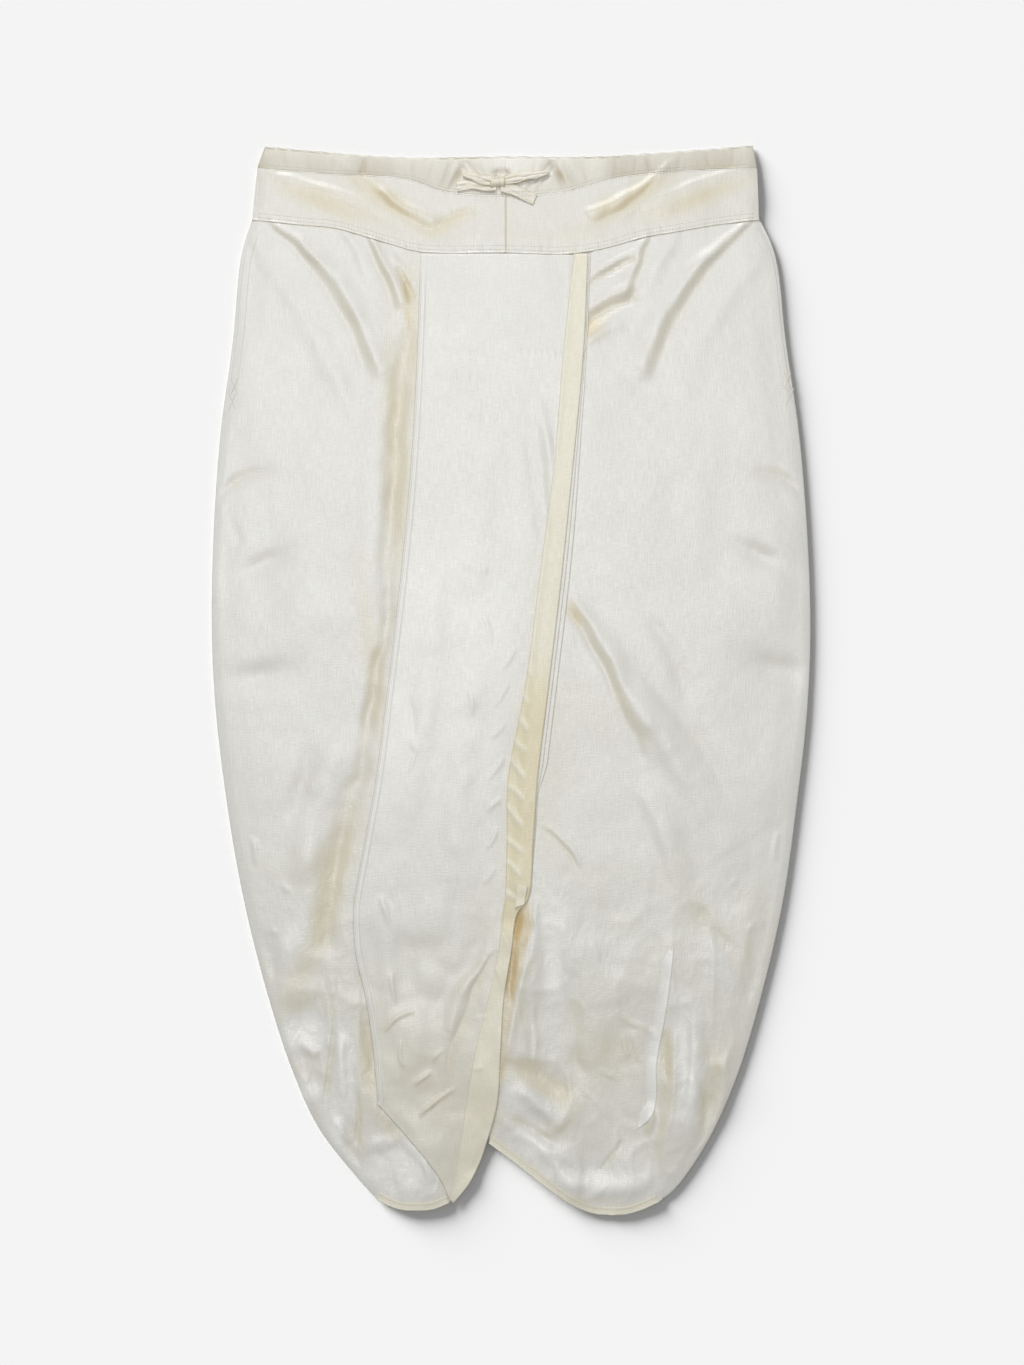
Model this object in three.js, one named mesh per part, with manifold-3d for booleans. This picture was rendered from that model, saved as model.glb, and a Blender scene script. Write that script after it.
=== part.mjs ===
// Stitched veshti trousers in art silk, laid flat with the front up.
// X runs across the garment, Y towards the waist, Z up from the surface it lies on.
// Every piece is a wall of cloth: a grid of points with a low and a high side.

import * as THREE from 'three';
import { mergeVertices } from 'three/addons/utils/BufferGeometryUtils.js';
import Module from 'manifold-3d';

const CURVE_KIND = 'centripetal';

// Cloth walls, millimetres
const BACK_WALL = 1.8;
const FRONT_WALL = 1.6;
const CASING_WALL = 2.5;
const PLEAT_WALL = 1.2;
const TRIM_WALL = 1.0;

// Gaps between pieces, millimetres
const SEAM_GAP = 0.3;
const LAY_GAP = 0.45;
const CASING_GAP = 0.9;

// How the laid garment rounds at its sides, millimetres
const SIDE_CURL = 2.4;
const CURL_WIDTH = 26;
const LEG_PUFF = 3.3;
const WAIST_PUFF = 1.2;
const PUFF_WIDTH = 32;
const HEM_FADE = 60;
const WAIST_FADE = 70;
const HEM_SHARE = 0.25;
const FOLD_END_SHARE = 0.25;

// Seam and edge places, millimetres
const CENTRE_SEAM = -6.6;
const LEG_LENGTH = 930;
const HEM_DEPTH = 7;
const PLEAT_EDGE_WIDTH = 7;
const UNDER_PLEAT_OFFSETS = [-13, -10, 0, 3, 6.5];
const UNDER_PLEAT_STEPS = 24;
const UNDER_PLEAT_END = -192;
const UNDER_PLEAT_END_X = 17;
const REST_REACH = 9;
const TRIM_REACH = 6;
const BOW_REACH = 12;

// Grid counts
const LEG_ROWS = 36;
const LEG_COLUMNS = 17;
const YOKE_ROWS = 5;
const CASING_ROWS = 2;
const BACK_ROWS = 22;
const BACK_COLUMNS = 10;
const FLAP_ROWS = 38;
const FLAP_COLUMNS = 8;
const FACING_COLUMNS = 2;
const BACK_BAND_ROWS = 2;
const PLEAT_EDGE_STEPS = 24;
const TIE_STEPS = 6;
const LOOP_STEPS = 20;
const SIDE_SAMPLES = 90;
const COLUMN_EASE = 3;
const POCKET_ROWS = [1, 6];
const POCKET_COLUMNS = [0, 2];

// Ruffles of the elastic back casing, millimetres
const RUFFLES = 30;
const RUFFLE_STEPS = 4;
const RUFFLE_HEIGHT = 0.8;
const RUFFLE_FADE = 9;
const WAIST_WIDTH = 458;
const BACK_CASING_RISE = 1.6;

// Drawstring and its slit, millimetres
const TIE_WIDTH = 10;
const TIE_WALL = 1.1;
const LOOP_RISE = 1.9;
const LOOP_PINCH = 0.55;
const LOOP_SHAPE = 0.9;
const SLIT = { x: -9, y: 477.5, z: 5, length: 21, height: 3.6, depth: 30 };
const KNOT = { x: -11.5, y: 467, halfLength: 6, halfWidth: 5, halfHeight: 3.6 };
const BOW_HALF_SPAN = 22;

// Corner of the facing, turned up at the lower end of its free edge, millimetres
const CORNER_FOLD = { x: 10.5, y: -201, width: 9, height: 12.6, slant: 3, lift: 1 };

// Side edges of the legs, a row for each level
const LEG_SECTIONS = named(['y', 'left', 'right'], [
  [399, -253, 248],
  [320, -261, 258],
  [219, -274, 272],
  [76, -281, 281],
  [-18, -278, 279],
  [-120, -266, 268],
  [-210, -250, 255],
  [-300, -227, 234],
  [-372, -203, 212],
]);

// Waist end of the sides: yoke seam, casing seam and top edge
const WAIST_SECTIONS = named(['y', 'left', 'right'], [
  [500, -231, 227],
  [482, -238, 231],
  [459, -238, 236],
  [433, -243, 233],
]);

// Front pleat panel, a row for each level: left fold, inner edge of the facing, right edge
const FLAP_SECTIONS = named(['y', 'left', 'facing', 'right'], [
  [400.3, -85, 59, 72],
  [309, -88, 49, 68],
  [201, -94, 40, 58],
  [93, -104, 26, 47],
  [0, -115, 14, 36],
  [-94, -127, -3, 25],
  [-150, -137, -4, 21],
  [-205, -147, -6, 16],
  [-218, -148, -8, 6],
  [-255, -146, -12, 0],
  [-300, -136, -19, -7],
  [-350, -129, -26, -10],
  [-397, -125, -33, -13],
]);

// Yoke seam, casing seam and waist edge as height against place across
const YOKE_SEAM = named(['x', 'y'], [
  [-243, 433], [-196, 428], [-165, 425], [-116, 411], [-86, 403], [-7, 402],
  [55, 401], [87, 406], [127, 417], [152, 421], [192, 428], [233, 433],
]);
const CASING_SEAM = named(['x', 'y'], [
  [-238, 482], [-173, 477], [-98, 472], [-61, 460], [-7, 456],
  [51, 460], [98, 473], [169, 480], [231, 482],
]);
const WAIST_EDGE = named(['x', 'y'], [
  [-231, 499], [-133, 491], [-84, 489], [-7, 490], [84, 490], [131, 493], [227, 500],
]);

// Leg openings and the edges that meet between the legs
const HEM_LEFT = named(['x', 'y'], [
  [-126, -487], [-108, -495], [-92, -497], [-74, -496], [-58, -490],
]);
const HEM_RIGHT = named(['x', 'y'], [
  [139, -489], [121, -497], [105, -501], [78, -500], [56, -491], [33, -475], [6, -454], [-21, -434],
]);
const CORNER_LEFT = named(['x', 'y'], [[-180, -421], [-144, -467], [-126, -487]]);
const CORNER_RIGHT = named(['x', 'y'], [[185, -432], [154, -477], [139, -489]]);
const FRONT_INNER_LEFT = named(['x', 'y'], [
  [-6.75, 402], [-8, 200], [-10, -18], [-14, -205], [-22, -350], [-33, -434], [-43, -460], [-58, -490],
]);
const FRONT_INNER_RIGHT = named(['x', 'y'], [
  [-6.45, 402], [-6, 200], [-5.4, -18], [-3, -169], [8, -209], [19, -233], [13, -251],
  [3, -295], [-5, -330], [-8, -356], [-10.5, -394], [-21, -434],
]);
const BACK_INNER_LEFT = named(['x', 'y'], [
  [-6.75, 402], [-7.4, 200], [-7.6, -100], [-8, -300], [-10, -350], [-14, -394], [-24, -434],
  [-40, -472], [-58, -490],
]);
const BACK_INNER_RIGHT = named(['x', 'y'], [
  [-6.45, 402], [-6, 200], [-5.8, -100], [-5.8, -300], [-7.4, -350], [-11.4, -394], [-21, -434],
]);
const FLAP_LOW_EDGE = named(['x', 'y'], [
  [-125, -397], [-101, -424], [-76, -454], [-64, -472], [-57, -488],
]);
const FACING_TIP = named(['x', 'y'], [[-40, -432], [-49, -466], [-57, -488]]);
const FLAP_TIP = named(['x', 'y'], [[-23, -434], [-30, -454], [-40, -473], [-54, -490]]);

// Folds of the front, a row for each: a bent line, its half width and how far it lifts the cloth
const FRONT_FOLDS = named(['x0', 'y0', 'x1', 'y1', 'bend', 'width', 'lift'], [
  [-212, 474, -114, 433, 3, 7, -0.9],
  [-222, 462, -128, 424, 3, 10, 2.6],
  [-130, 474, -70, 423, -3, 7, -0.9],
  [-146, 462, -88, 420, -3, 9, 2.4],
  [208, 476, 129, 443, -3, 7, -0.9],
  [216, 462, 138, 424, -3, 10, 2.6],
  [133, 474, 74, 433, 3, 7, -0.9],
  [150, 462, 92, 420, 3, 9, 2.4],
  [-224, 425, -130, 290, 11, 8, -2.6],
  [-202, 428, -112, 296, 11, 9, 4.2],
  [-240, 405, -152, 270, 11, 12, 2.8],
  [-150, 420, -122, 340, 3, 9, 3.4],
  [-133, 414, -106, 352, 2, 6, -2.4],
  [-112, 402, -98, 350, 0, 7, 2.6],
  [223, 425, 129, 294, -12, 8, -2.6],
  [202, 426, 112, 300, -12, 9, 4.2],
  [240, 404, 150, 272, -12, 12, 2.8],
  [148, 418, 120, 345, -3, 9, 3.2],
  [129, 412, 108, 356, -2, 6, -2.2],
  [74, 333, 116, 357, 2, 7, -2.4],
  [78, 350, 124, 378, 2, 8, 2.6],
  [-104, 320, -160, -220, -14, 9, -2.6],
  [-124, 300, -186, -200, -14, 14, 2.6],
  [58, 63, 125, -70, 6, 9, -2.4],
  [74, 66, 142, -66, 6, 11, 3.0],
  [109, -90, 152, -199, 5, 10, -2.4],
  [133, 55, 184, -110, 6, 10, -2.0],
  [129, -47, 203, -168, 4, 13, 3.4],
  [29, -141, 62, -175, 3, 5, -2.0],
  [-262, 190, -205, 180, 8, 12, -1.8],
  [262, 180, 205, 188, -8, 12, -1.8],
  [-244, 112, -204, 108, 4, 16, -2.2],
  [244, 114, 206, 110, -4, 16, -2.2],
  [-268, 12, -226, 4, 5, 20, -2.2],
  [268, 16, 228, 6, -5, 20, -2.2],
  [172, -322, 168, -440, -5, 9, 2.6],
  [-174, -310, -158, -440, 5, 9, 2.6],
  [-196, -260, -182, -400, 5, 9, 1.8],
  [196, -260, 188, -400, -5, 9, 1.8],
  [60, -383, 94, -413, 3, 9, 2.0],
  [98, -309, 133, -332, -3, 9, 2.2],
]);

// Soft ridges of the front pleat panel
const FLAP_FOLDS = named(['x0', 'y0', 'x1', 'y1', 'bend', 'width', 'lift'], [
  [34, 262, 22, 140, 4, 12, 1.6],
  [-6, 210, -18, 40, -6, 16, 1.4],
  [-70, 120, -96, -130, 5, 16, 1.6],
  [-32, 10, -52, -190, -5, 18, 1.8],
  [-14, -228, -70, -352, -10, 13, 2.4],
  [-118, -250, -112, -380, 6, 14, 1.8],
  [-83, -413, -53, -383, 3, 9, 1.2],
  [-118, -329, -90, -311, 4, 9, 1.2],
]);

// Visible edge of the pleat that opens below the knee of the right leg
const PLEAT_EDGE_RIGHT = named(['x', 'y'], [
  [154, -238], [150, -278], [144, -320], [137, -358], [134, -405], [122, -419], [104, -431], [84, -458],
]);

// Drawstring pieces: where each starts and ends, and how far the ribbon stands apart there
const TIE_LOOPS = named(['name', 'x0', 'y0', 'x1', 'y1', 'height'], [
  ['tie_loop_left', -17.9, 468, -47, 474.5, 4.4],
  ['tie_loop_right', -5.1, 468.2, 35, 476, 4.6],
]);
const TIE_ENDS = named(['name', 'x0', 'y0', 'x1', 'y1', 'bend'], [
  ['tie_end_left', -17.5, 461.5, -50, 459, 2],
  ['tie_end_right', -6, 461, 20, 450, -1],
]);

const IVORY_SILK = { color: 0xe4e2dc, roughness: 0.42, metalness: 0 };
const CREAM_SILK = { color: 0xded9c8, roughness: 0.48, metalness: 0 };
const CASING_SILK = { color: 0xd8d5cc, roughness: 0.5, metalness: 0 };
const TIE_SILK = { color: 0xdcd8ca, roughness: 0.5, metalness: 0 };

const wasm = await Module();
wasm.setup();

// Turns rows of plain values into rows with named columns
function named(names, rows) {
  return rows.map((row) => Object.fromEntries(names.map((name, i) => [name, row[i]])));
}

function curveThrough(rows) {
  const points = rows.map((row) => new THREE.Vector3(row.x, row.y, 0));
  return new THREE.CatmullRomCurve3(points, false, CURVE_KIND);
}

function column(rows, name) {
  return rows.map((row) => ({ x: row[name], y: row.y }));
}

function clamp01(value) {
  return Math.min(Math.max(value, 0), 1);
}

// Side edge from the yoke seam down to the hem's corner
function sideRows(side) {
  const corner = side === 'left' ? CORNER_LEFT : CORNER_RIGHT;
  return [...column(WAIST_SECTIONS.slice(3), side), ...column(LEG_SECTIONS, side), ...corner];
}

// Part of a seam table on one side of the centre seam, from the side edge inwards
function halfSeam(rows, side) {
  const sign = side === 'left' ? -1 : 1;
  const kept = rows.filter((row) => (row.x - CENTRE_SEAM) * sign > 3);
  const middle = { x: CENTRE_SEAM + sign * SEAM_GAP / 2, y: seamHeight(rows, CENTRE_SEAM) };
  return side === 'left' ? [...kept, middle] : [...kept.reverse(), middle];
}

function seamHeight(rows, x) {
  const last = rows.length - 1;
  const i = rows.findIndex((row, k) => k < last && x <= rows[k + 1].x);
  const k = i < 0 ? last - 1 : i;
  const t = (x - rows[k].x) / (rows[k + 1].x - rows[k].x);
  return rows[k].y + t * (rows[k + 1].y - rows[k].y);
}

const SIDES = ['left', 'right'];
const sideLines = SIDES.map((side) => {
  const rows = [...column(WAIST_SECTIONS.slice(0, 3), side), ...sideRows(side)];
  return curveThrough(rows).getSpacedPoints(SIDE_SAMPLES);
});
const hemLines = [HEM_LEFT, HEM_RIGHT].map((rows) => curveThrough(rows).getSpacedPoints(SIDE_SAMPLES));

function lineDistance(line, x, y) {
  let nearest = Infinity;
  for (let i = 1; i < line.length; i += 1) {
    const a = line[i - 1];
    const dx = line[i].x - a.x;
    const dy = line[i].y - a.y;
    const t = clamp01(((x - a.x) * dx + (y - a.y) * dy) / (dx * dx + dy * dy));
    nearest = Math.min(nearest, Math.hypot(x - a.x - t * dx, y - a.y - t * dy));
  }
  return nearest;
}

function nearestLine(lines, x, y) {
  return Math.min(...lines.map((line) => lineDistance(line, x, y)));
}

// The underside lies flat on the surface and curls up at the sides
function backLow(x, y) {
  const reach = clamp01(1 - nearestLine(sideLines, x, y) / CURL_WIDTH);
  return SIDE_CURL * reach * reach;
}

function ruffle(x) {
  return RUFFLE_HEIGHT * 0.5 * (1 - Math.cos((x / WAIST_WIDTH) * RUFFLES * 2 * Math.PI));
}

// Hollow between back and front, closed at the sides, hems and waist
function puff(x, y) {
  const side = 1 - clamp01(1 - nearestLine(sideLines, x, y) / PUFF_WIDTH) ** 2;
  const waist = clamp01((seamHeight(WAIST_EDGE, x) - y) / WAIST_FADE);
  const hem = clamp01(nearestLine(hemLines, x, y) / HEM_FADE);
  const level = WAIST_PUFF + (LEG_PUFF - WAIST_PUFF) * waist;
  return level * side * (HEM_SHARE + (1 - HEM_SHARE) * hem);
}

// Height of a table of folds: each is a bent line with a soft round section, fading at its ends
function foldHeight(folds, x, y) {
  let total = 0;
  for (const fold of folds) {
    const dx = fold.x1 - fold.x0;
    const dy = fold.y1 - fold.y0;
    const length = Math.hypot(dx, dy);
    const t = ((x - fold.x0) * dx + (y - fold.y0) * dy) / (length * length);
    const inside = clamp01(t);
    const bend = fold.bend * 4 * inside * (1 - inside);
    const across = ((x - fold.x0) * -dy + (y - fold.y0) * dx) / length - bend;
    const beyond = (t - inside) * length;
    const spread = (across * across + beyond * beyond) / (fold.width * fold.width);
    const taper = FOLD_END_SHARE + (1 - FOLD_END_SHARE) * Math.sqrt(4 * inside * (1 - inside));
    total += fold.lift * taper * Math.exp(-spread);
  }
  return total;
}

function backTop(x, y) {
  return backLow(x, y) + BACK_WALL;
}

function frontLow(x, y) {
  const open = Math.max(puff(x, y) + foldHeight(FRONT_FOLDS, x, y), 0);
  const casing = y > seamHeight(CASING_SEAM, x) - RUFFLE_HEIGHT ? RUFFLE_HEIGHT : 0;
  return backTop(x, y) + SEAM_GAP + open + casing;
}

// Columns stand close together near the side edge, where the cloth rounds
function edgeSpread(i, count) {
  return (i * i / (i + COLUMN_EASE)) / (count * count / (count + COLUMN_EASE));
}

function evenSteps(count) {
  return Array.from({ length: count + 1 }, (_, i) => i / count);
}

function edgeSteps(count) {
  return Array.from({ length: count + 1 }, (_, i) => edgeSpread(i, count));
}

// Grid of points between four edge curves, the first column along outer and the last along inner
function patch({ top, bottom, outer, inner, rows, columns }) {
  const corner = (u, v) => (v === 0 ? top : bottom).getPointAt(u);
  return rows.map((v) => columns.map((u) => {
    const point = new THREE.Vector3();
    point.addScaledVector(outer.getPointAt(v), 1 - u);
    point.addScaledVector(inner.getPointAt(v), u);
    point.addScaledVector(top.getPointAt(u), 1 - v);
    point.addScaledVector(bottom.getPointAt(u), v);
    point.addScaledVector(corner(0, 0), -(1 - u) * (1 - v));
    point.addScaledVector(corner(1, 0), -u * (1 - v));
    point.addScaledVector(corner(0, 1), -(1 - u) * v);
    point.addScaledVector(corner(1, 1), -u * v);
    return { x: point.x, y: point.y };
  }));
}

// Gives each grid point its low and high side
function lay(grid, low, wall) {
  return grid.map((row) => row.map(({ x, y }) => {
    const base = low(x, y);
    return { x, y, low: base, high: base + wall };
  }));
}

// A trim made from a panel's own points, moved out
function trimFrom(grid, rows, columns, wall) {
  return grid.slice(rows[0], rows[1] + 1).map((row) => row.slice(columns[0], columns[1] + 1).map((point) => {
    const low = point.high + SEAM_GAP;
    return { x: point.x, y: point.y, low, high: low + wall };
  }));
}

function triangleHeight(a, b, c, x, y) {
  const area = (b.x - a.x) * (c.y - a.y) - (c.x - a.x) * (b.y - a.y);
  const u = ((b.x - x) * (c.y - y) - (c.x - x) * (b.y - y)) / area;
  const v = ((c.x - x) * (a.y - y) - (a.x - x) * (c.y - y)) / area;
  const w = 1 - u - v;
  return Math.min(u, v, w) < -1e-6 ? -Infinity : u * a.high + v * b.high + w * c.high;
}

function gridHeight(grid, x, y) {
  let height = -Infinity;
  for (let r = 1; r < grid.length; r += 1) {
    for (let c = 1; c < grid[r].length; c += 1) {
      const [a, b] = [grid[r - 1][c - 1], grid[r - 1][c]];
      const [d, e] = [grid[r][c - 1], grid[r][c]];
      height = Math.max(height, triangleHeight(a, b, e, x, y), triangleHeight(a, e, d, x, y));
    }
  }
  return height;
}

// Height to lie on: the highest point of the pieces beneath, around the place
function restOn(grids, x, y, reach = REST_REACH) {
  let height = -Infinity;
  for (const dx of [-reach, 0, reach]) {
    for (const dy of [-reach, 0, reach]) {
      for (const grid of grids) {
        height = Math.max(height, gridHeight(grid, x + dx, y + dy));
      }
    }
  }
  return Math.max(height, frontLow(x, y) + FRONT_WALL - SEAM_GAP);
}

// Closed solid of a grid with a low and a high side
function wallSolid(grid) {
  const rows = grid.length;
  const columns = grid[0].length;
  const positions = [];
  for (const side of ['high', 'low']) {
    for (const row of grid) {
      for (const point of row) {
        positions.push(point.x, point.y, point[side]);
      }
    }
  }
  const at = (side, r, c) => side * rows * columns + r * columns + c;
  const index = [];
  const quad = (a, b, c, d) => index.push(a, b, c, a, c, d);
  for (let r = 1; r < rows; r += 1) {
    for (let c = 1; c < columns; c += 1) {
      quad(at(0, r - 1, c - 1), at(0, r - 1, c), at(0, r, c), at(0, r, c - 1));
      index.push(at(1, r - 1, c - 1), at(1, r, c), at(1, r - 1, c));
      index.push(at(1, r - 1, c - 1), at(1, r, c - 1), at(1, r, c));
    }
  }
  for (let c = 1; c < columns; c += 1) {
    quad(at(0, 0, c), at(0, 0, c - 1), at(1, 0, c - 1), at(1, 0, c));
    quad(at(0, rows - 1, c - 1), at(0, rows - 1, c), at(1, rows - 1, c), at(1, rows - 1, c - 1));
  }
  for (let r = 1; r < rows; r += 1) {
    quad(at(0, r - 1, 0), at(0, r, 0), at(1, r, 0), at(1, r - 1, 0));
    quad(at(0, r, columns - 1), at(0, r - 1, columns - 1), at(1, r - 1, columns - 1), at(1, r, columns - 1));
  }
  return solid(positions, index);
}

// Geometry with its faces pointing out, whichever way round the grid was given
function solid(positions, index) {
  const point = (i) => new THREE.Vector3(...positions.slice(3 * i, 3 * i + 3));
  let volume = 0;
  for (let i = 0; i < index.length; i += 3) {
    volume += point(index[i]).dot(point(index[i + 1]).cross(point(index[i + 2])));
  }
  const faces = volume < 0 ? [...index].reverse() : index;
  const geometry = new THREE.BufferGeometry();
  geometry.setAttribute('position', new THREE.Float32BufferAttribute(positions, 3));
  geometry.setIndex(faces);
  return geometry;
}

// One geometry minus another
function cut(geometry, tool) {
  const [body, cutter] = [geometry, tool].map((shape) => new wasm.Manifold(new wasm.Mesh({
    numProp: 3,
    vertProperties: new Float32Array(shape.attributes.position.array),
    triVerts: new Uint32Array(shape.index.array),
  })));
  const mesh = body.subtract(cutter).getMesh();
  const result = new THREE.BufferGeometry();
  result.setAttribute('position', new THREE.Float32BufferAttribute(mesh.vertProperties, 3));
  result.setIndex([...mesh.triVerts]);
  return result;
}

// Plain closed mesh of a three.js shape, its doubled points joined
function joined(geometry) {
  geometry.deleteAttribute('normal');
  geometry.deleteAttribute('uv');
  return mergeVertices(geometry, 1e-4);
}

// The drawstring's slit, a slim eye through both halves of the casing
function slitShape() {
  const eye = new THREE.CylinderGeometry(1, 1, SLIT.depth, 14).rotateX(Math.PI / 2);
  eye.scale(SLIT.length / 2, SLIT.height / 2, 1).translate(SLIT.x, SLIT.y, SLIT.z);
  return joined(eye);
}

// Strip of cloth along a line, with its width to one side and its height read from below
function stripGrid(line, offsets, steps, low, wall) {
  const grid = evenSteps(steps).map((t) => {
    const point = line.getPointAt(t);
    const tangent = line.getTangentAt(t);
    return offsets.map((offset) => ({ x: point.x - tangent.y * offset, y: point.y + tangent.x * offset }));
  });
  return lay(grid, low, wall);
}

const garment = new THREE.Group();

function add(name, geometry, finish) {
  const mesh = new THREE.Mesh(geometry, new THREE.MeshStandardMaterial(finish));
  mesh.name = name;
  garment.add(mesh);
}

function halfCurves(side) {
  return {
    waist: curveThrough(halfSeam(WAIST_EDGE, side)),
    casing: curveThrough(halfSeam(CASING_SEAM, side)),
    yoke: curveThrough(halfSeam(YOKE_SEAM, side)),
  };
}

function shifted(curve, dy) {
  return new THREE.CatmullRomCurve3(
    curve.points.map((point) => new THREE.Vector3(point.x, point.y + dy, 0)), false, CURVE_KIND);
}

function straight(a, b) {
  return new THREE.LineCurve3(a.getPointAt(0), b.getPointAt(0));
}

function straightEnd(a, b) {
  return new THREE.LineCurve3(a.getPointAt(1), b.getPointAt(1));
}

// Panel between two seams that run from the side edge to the centre seam
function bandGrid(upper, lower, rows, columns) {
  const top = shifted(upper, -SEAM_GAP / 2);
  const bottom = shifted(lower, SEAM_GAP / 2);
  return patch({
    top,
    bottom,
    outer: straight(top, bottom),
    inner: straightEnd(top, bottom),
    rows: evenSteps(rows),
    columns,
  });
}

function legGrid(side, innerRows, rows, columns) {
  const top = shifted(halfCurves(side).yoke, -SEAM_GAP / 2);
  const start = top.getPointAt(0);
  const end = top.getPointAt(1);
  const outerRows = [{ x: start.x, y: start.y }, ...sideRows(side).slice(1)];
  const fixedInner = [{ x: end.x, y: end.y }, ...innerRows.slice(1)];
  const hem = side === 'left' ? HEM_LEFT : HEM_RIGHT;
  return patch({
    top,
    bottom: curveThrough([...hem.slice(0, -1), fixedInner[fixedInner.length - 1]]),
    outer: curveThrough(outerRows),
    inner: curveThrough(fixedInner),
    rows,
    columns,
  });
}

const legSteps = [...evenSteps(LEG_ROWS).map((v) => v * (1 - HEM_DEPTH / LEG_LENGTH)), 1];
const FRONT_INNER = { left: FRONT_INNER_LEFT, right: FRONT_INNER_RIGHT };
const BACK_INNER = { left: BACK_INNER_LEFT, right: BACK_INNER_RIGHT };
const frontLegs = {};
const waistPieces = [];

for (const side of SIDES) {
  const seams = halfCurves(side);
  const columns = edgeSteps(LEG_COLUMNS);

  const backLeg = legGrid(side, BACK_INNER[side], evenSteps(BACK_ROWS), edgeSteps(BACK_COLUMNS));
  add(`back_leg_${side}`, wallSolid(lay(backLeg, backLow, BACK_WALL)), IVORY_SILK);

  const leg = lay(legGrid(side, FRONT_INNER[side], legSteps, columns), frontLow, FRONT_WALL);
  frontLegs[side] = leg;
  add(`front_leg_${side}`, wallSolid(leg), IVORY_SILK);

  const yoke = lay(bandGrid(seams.casing, seams.yoke, YOKE_ROWS, columns), frontLow, FRONT_WALL);
  add(`front_yoke_${side}`, wallSolid(yoke), IVORY_SILK);

  const casing = lay(bandGrid(seams.waist, seams.casing, CASING_ROWS, columns), frontLow, CASING_WALL);
  waistPieces.push(yoke, casing);
  add(`front_casing_${side}`, cut(wallSolid(casing), slitShape()), CASING_SILK);
}

// Back yoke and elastic casing, each in one width from side to side
function raised(rows, dy) {
  return curveThrough(rows.map((row) => ({ x: row.x, y: row.y + dy })));
}

const [yokeLeft, yokeRight] = SIDES.map((side) => {
  const seams = halfCurves(side);
  return bandGrid(seams.casing, seams.yoke, BACK_BAND_ROWS, edgeSteps(BACK_COLUMNS));
});
const backYoke = yokeLeft.map((row, r) => [...row.slice(0, -1), ...yokeRight[r].reverse()]);
add('back_yoke', wallSolid(lay(backYoke, backLow, BACK_WALL)), IVORY_SILK);

const ruffleColumns = evenSteps(RUFFLES * RUFFLE_STEPS);
const backCasing = patch({
  top: raised(WAIST_EDGE, BACK_CASING_RISE),
  bottom: raised(CASING_SEAM, CASING_GAP),
  outer: straight(raised(WAIST_EDGE, BACK_CASING_RISE), raised(CASING_SEAM, CASING_GAP)),
  inner: straightEnd(raised(WAIST_EDGE, BACK_CASING_RISE), raised(CASING_SEAM, CASING_GAP)),
  rows: evenSteps(BACK_BAND_ROWS),
  columns: ruffleColumns,
});
const ruffledLow = (x, y) => {
  const fade = clamp01((y - seamHeight(CASING_SEAM, x)) / RUFFLE_FADE);
  return backLow(x, y) + ruffle(x) * fade;
};
add('back_casing', wallSolid(lay(backCasing, ruffledLow, BACK_WALL)), CASING_SILK);

// Turned hems and pocket edges, from the legs' own points
const LAST = LEG_ROWS + 1;
for (const side of SIDES) {
  const leg = frontLegs[side];
  add(`pocket_edge_${side}`, wallSolid(trimFrom(leg, POCKET_ROWS, POCKET_COLUMNS, TRIM_WALL)), IVORY_SILK);
}
const hems = {
  left: trimFrom(frontLegs.left, [LAST - 1, LAST], [0, LEG_COLUMNS - 1], TRIM_WALL),
  right: trimFrom(frontLegs.right, [LAST - 1, LAST], [0, LEG_COLUMNS], TRIM_WALL),
};
for (const side of SIDES) {
  add(`hem_${side}`, wallSolid(hems[side]), CREAM_SILK);
}

// Folded edge of the released pleat on the right leg
const pleatEdge = stripGrid(curveThrough(PLEAT_EDGE_RIGHT), [0, -PLEAT_EDGE_WIDTH], PLEAT_EDGE_STEPS,
  (x, y) => restOn([frontLegs.right], x, y, TRIM_REACH) + SEAM_GAP, PLEAT_WALL);
add('pleat_edge_right', wallSolid(pleatEdge), IVORY_SILK);

// Two under-pleats beneath the front panel's right edge, the narrow one from the wide one's points
const layers = [frontLegs.left, frontLegs.right, hems.left];
const underLine = curveThrough([
  ...column(FLAP_SECTIONS.filter((row) => row.y > UNDER_PLEAT_END), 'right'),
  { x: UNDER_PLEAT_END_X, y: UNDER_PLEAT_END },
]);
const underWide = stripGrid(underLine, UNDER_PLEAT_OFFSETS, UNDER_PLEAT_STEPS,
  (x, y) => restOn([frontLegs.left, frontLegs.right], x, y, TRIM_REACH) + LAY_GAP, TRIM_WALL);
const underNarrow = trimFrom(underWide, [0, UNDER_PLEAT_STEPS], [1, 3], TRIM_WALL);
add('pleat_under_wide', wallSolid(underWide), IVORY_SILK);
add('pleat_under_narrow', wallSolid(underNarrow), IVORY_SILK);
layers.push(underWide, underNarrow);

// Front pleat panel in two widths: up to the facing, and under the facing
const flapStart = FLAP_SECTIONS[0];
const flapTopLine = (x0, x1) => new THREE.LineCurve3(
  new THREE.Vector3(x0, flapStart.y, 0), new THREE.Vector3(x1, flapStart.y, 0));
const facingLine = curveThrough([...column(FLAP_SECTIONS, 'facing'), ...FACING_TIP]);
const flapRight = curveThrough([...column(FLAP_SECTIONS, 'right'), ...FLAP_TIP]);
const flapRows = evenSteps(FLAP_ROWS);
const flapMain = patch({
  top: flapTopLine(flapStart.left, flapStart.facing),
  bottom: curveThrough(FLAP_LOW_EDGE),
  outer: curveThrough(column(FLAP_SECTIONS, 'left')),
  inner: facingLine,
  rows: flapRows,
  columns: evenSteps(FLAP_COLUMNS),
});
const flapSide = patch({
  top: flapTopLine(flapStart.facing, flapStart.right),
  bottom: straightEnd(facingLine, flapRight),
  outer: facingLine,
  inner: flapRight,
  rows: flapRows,
  columns: evenSteps(FACING_COLUMNS),
});
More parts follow.
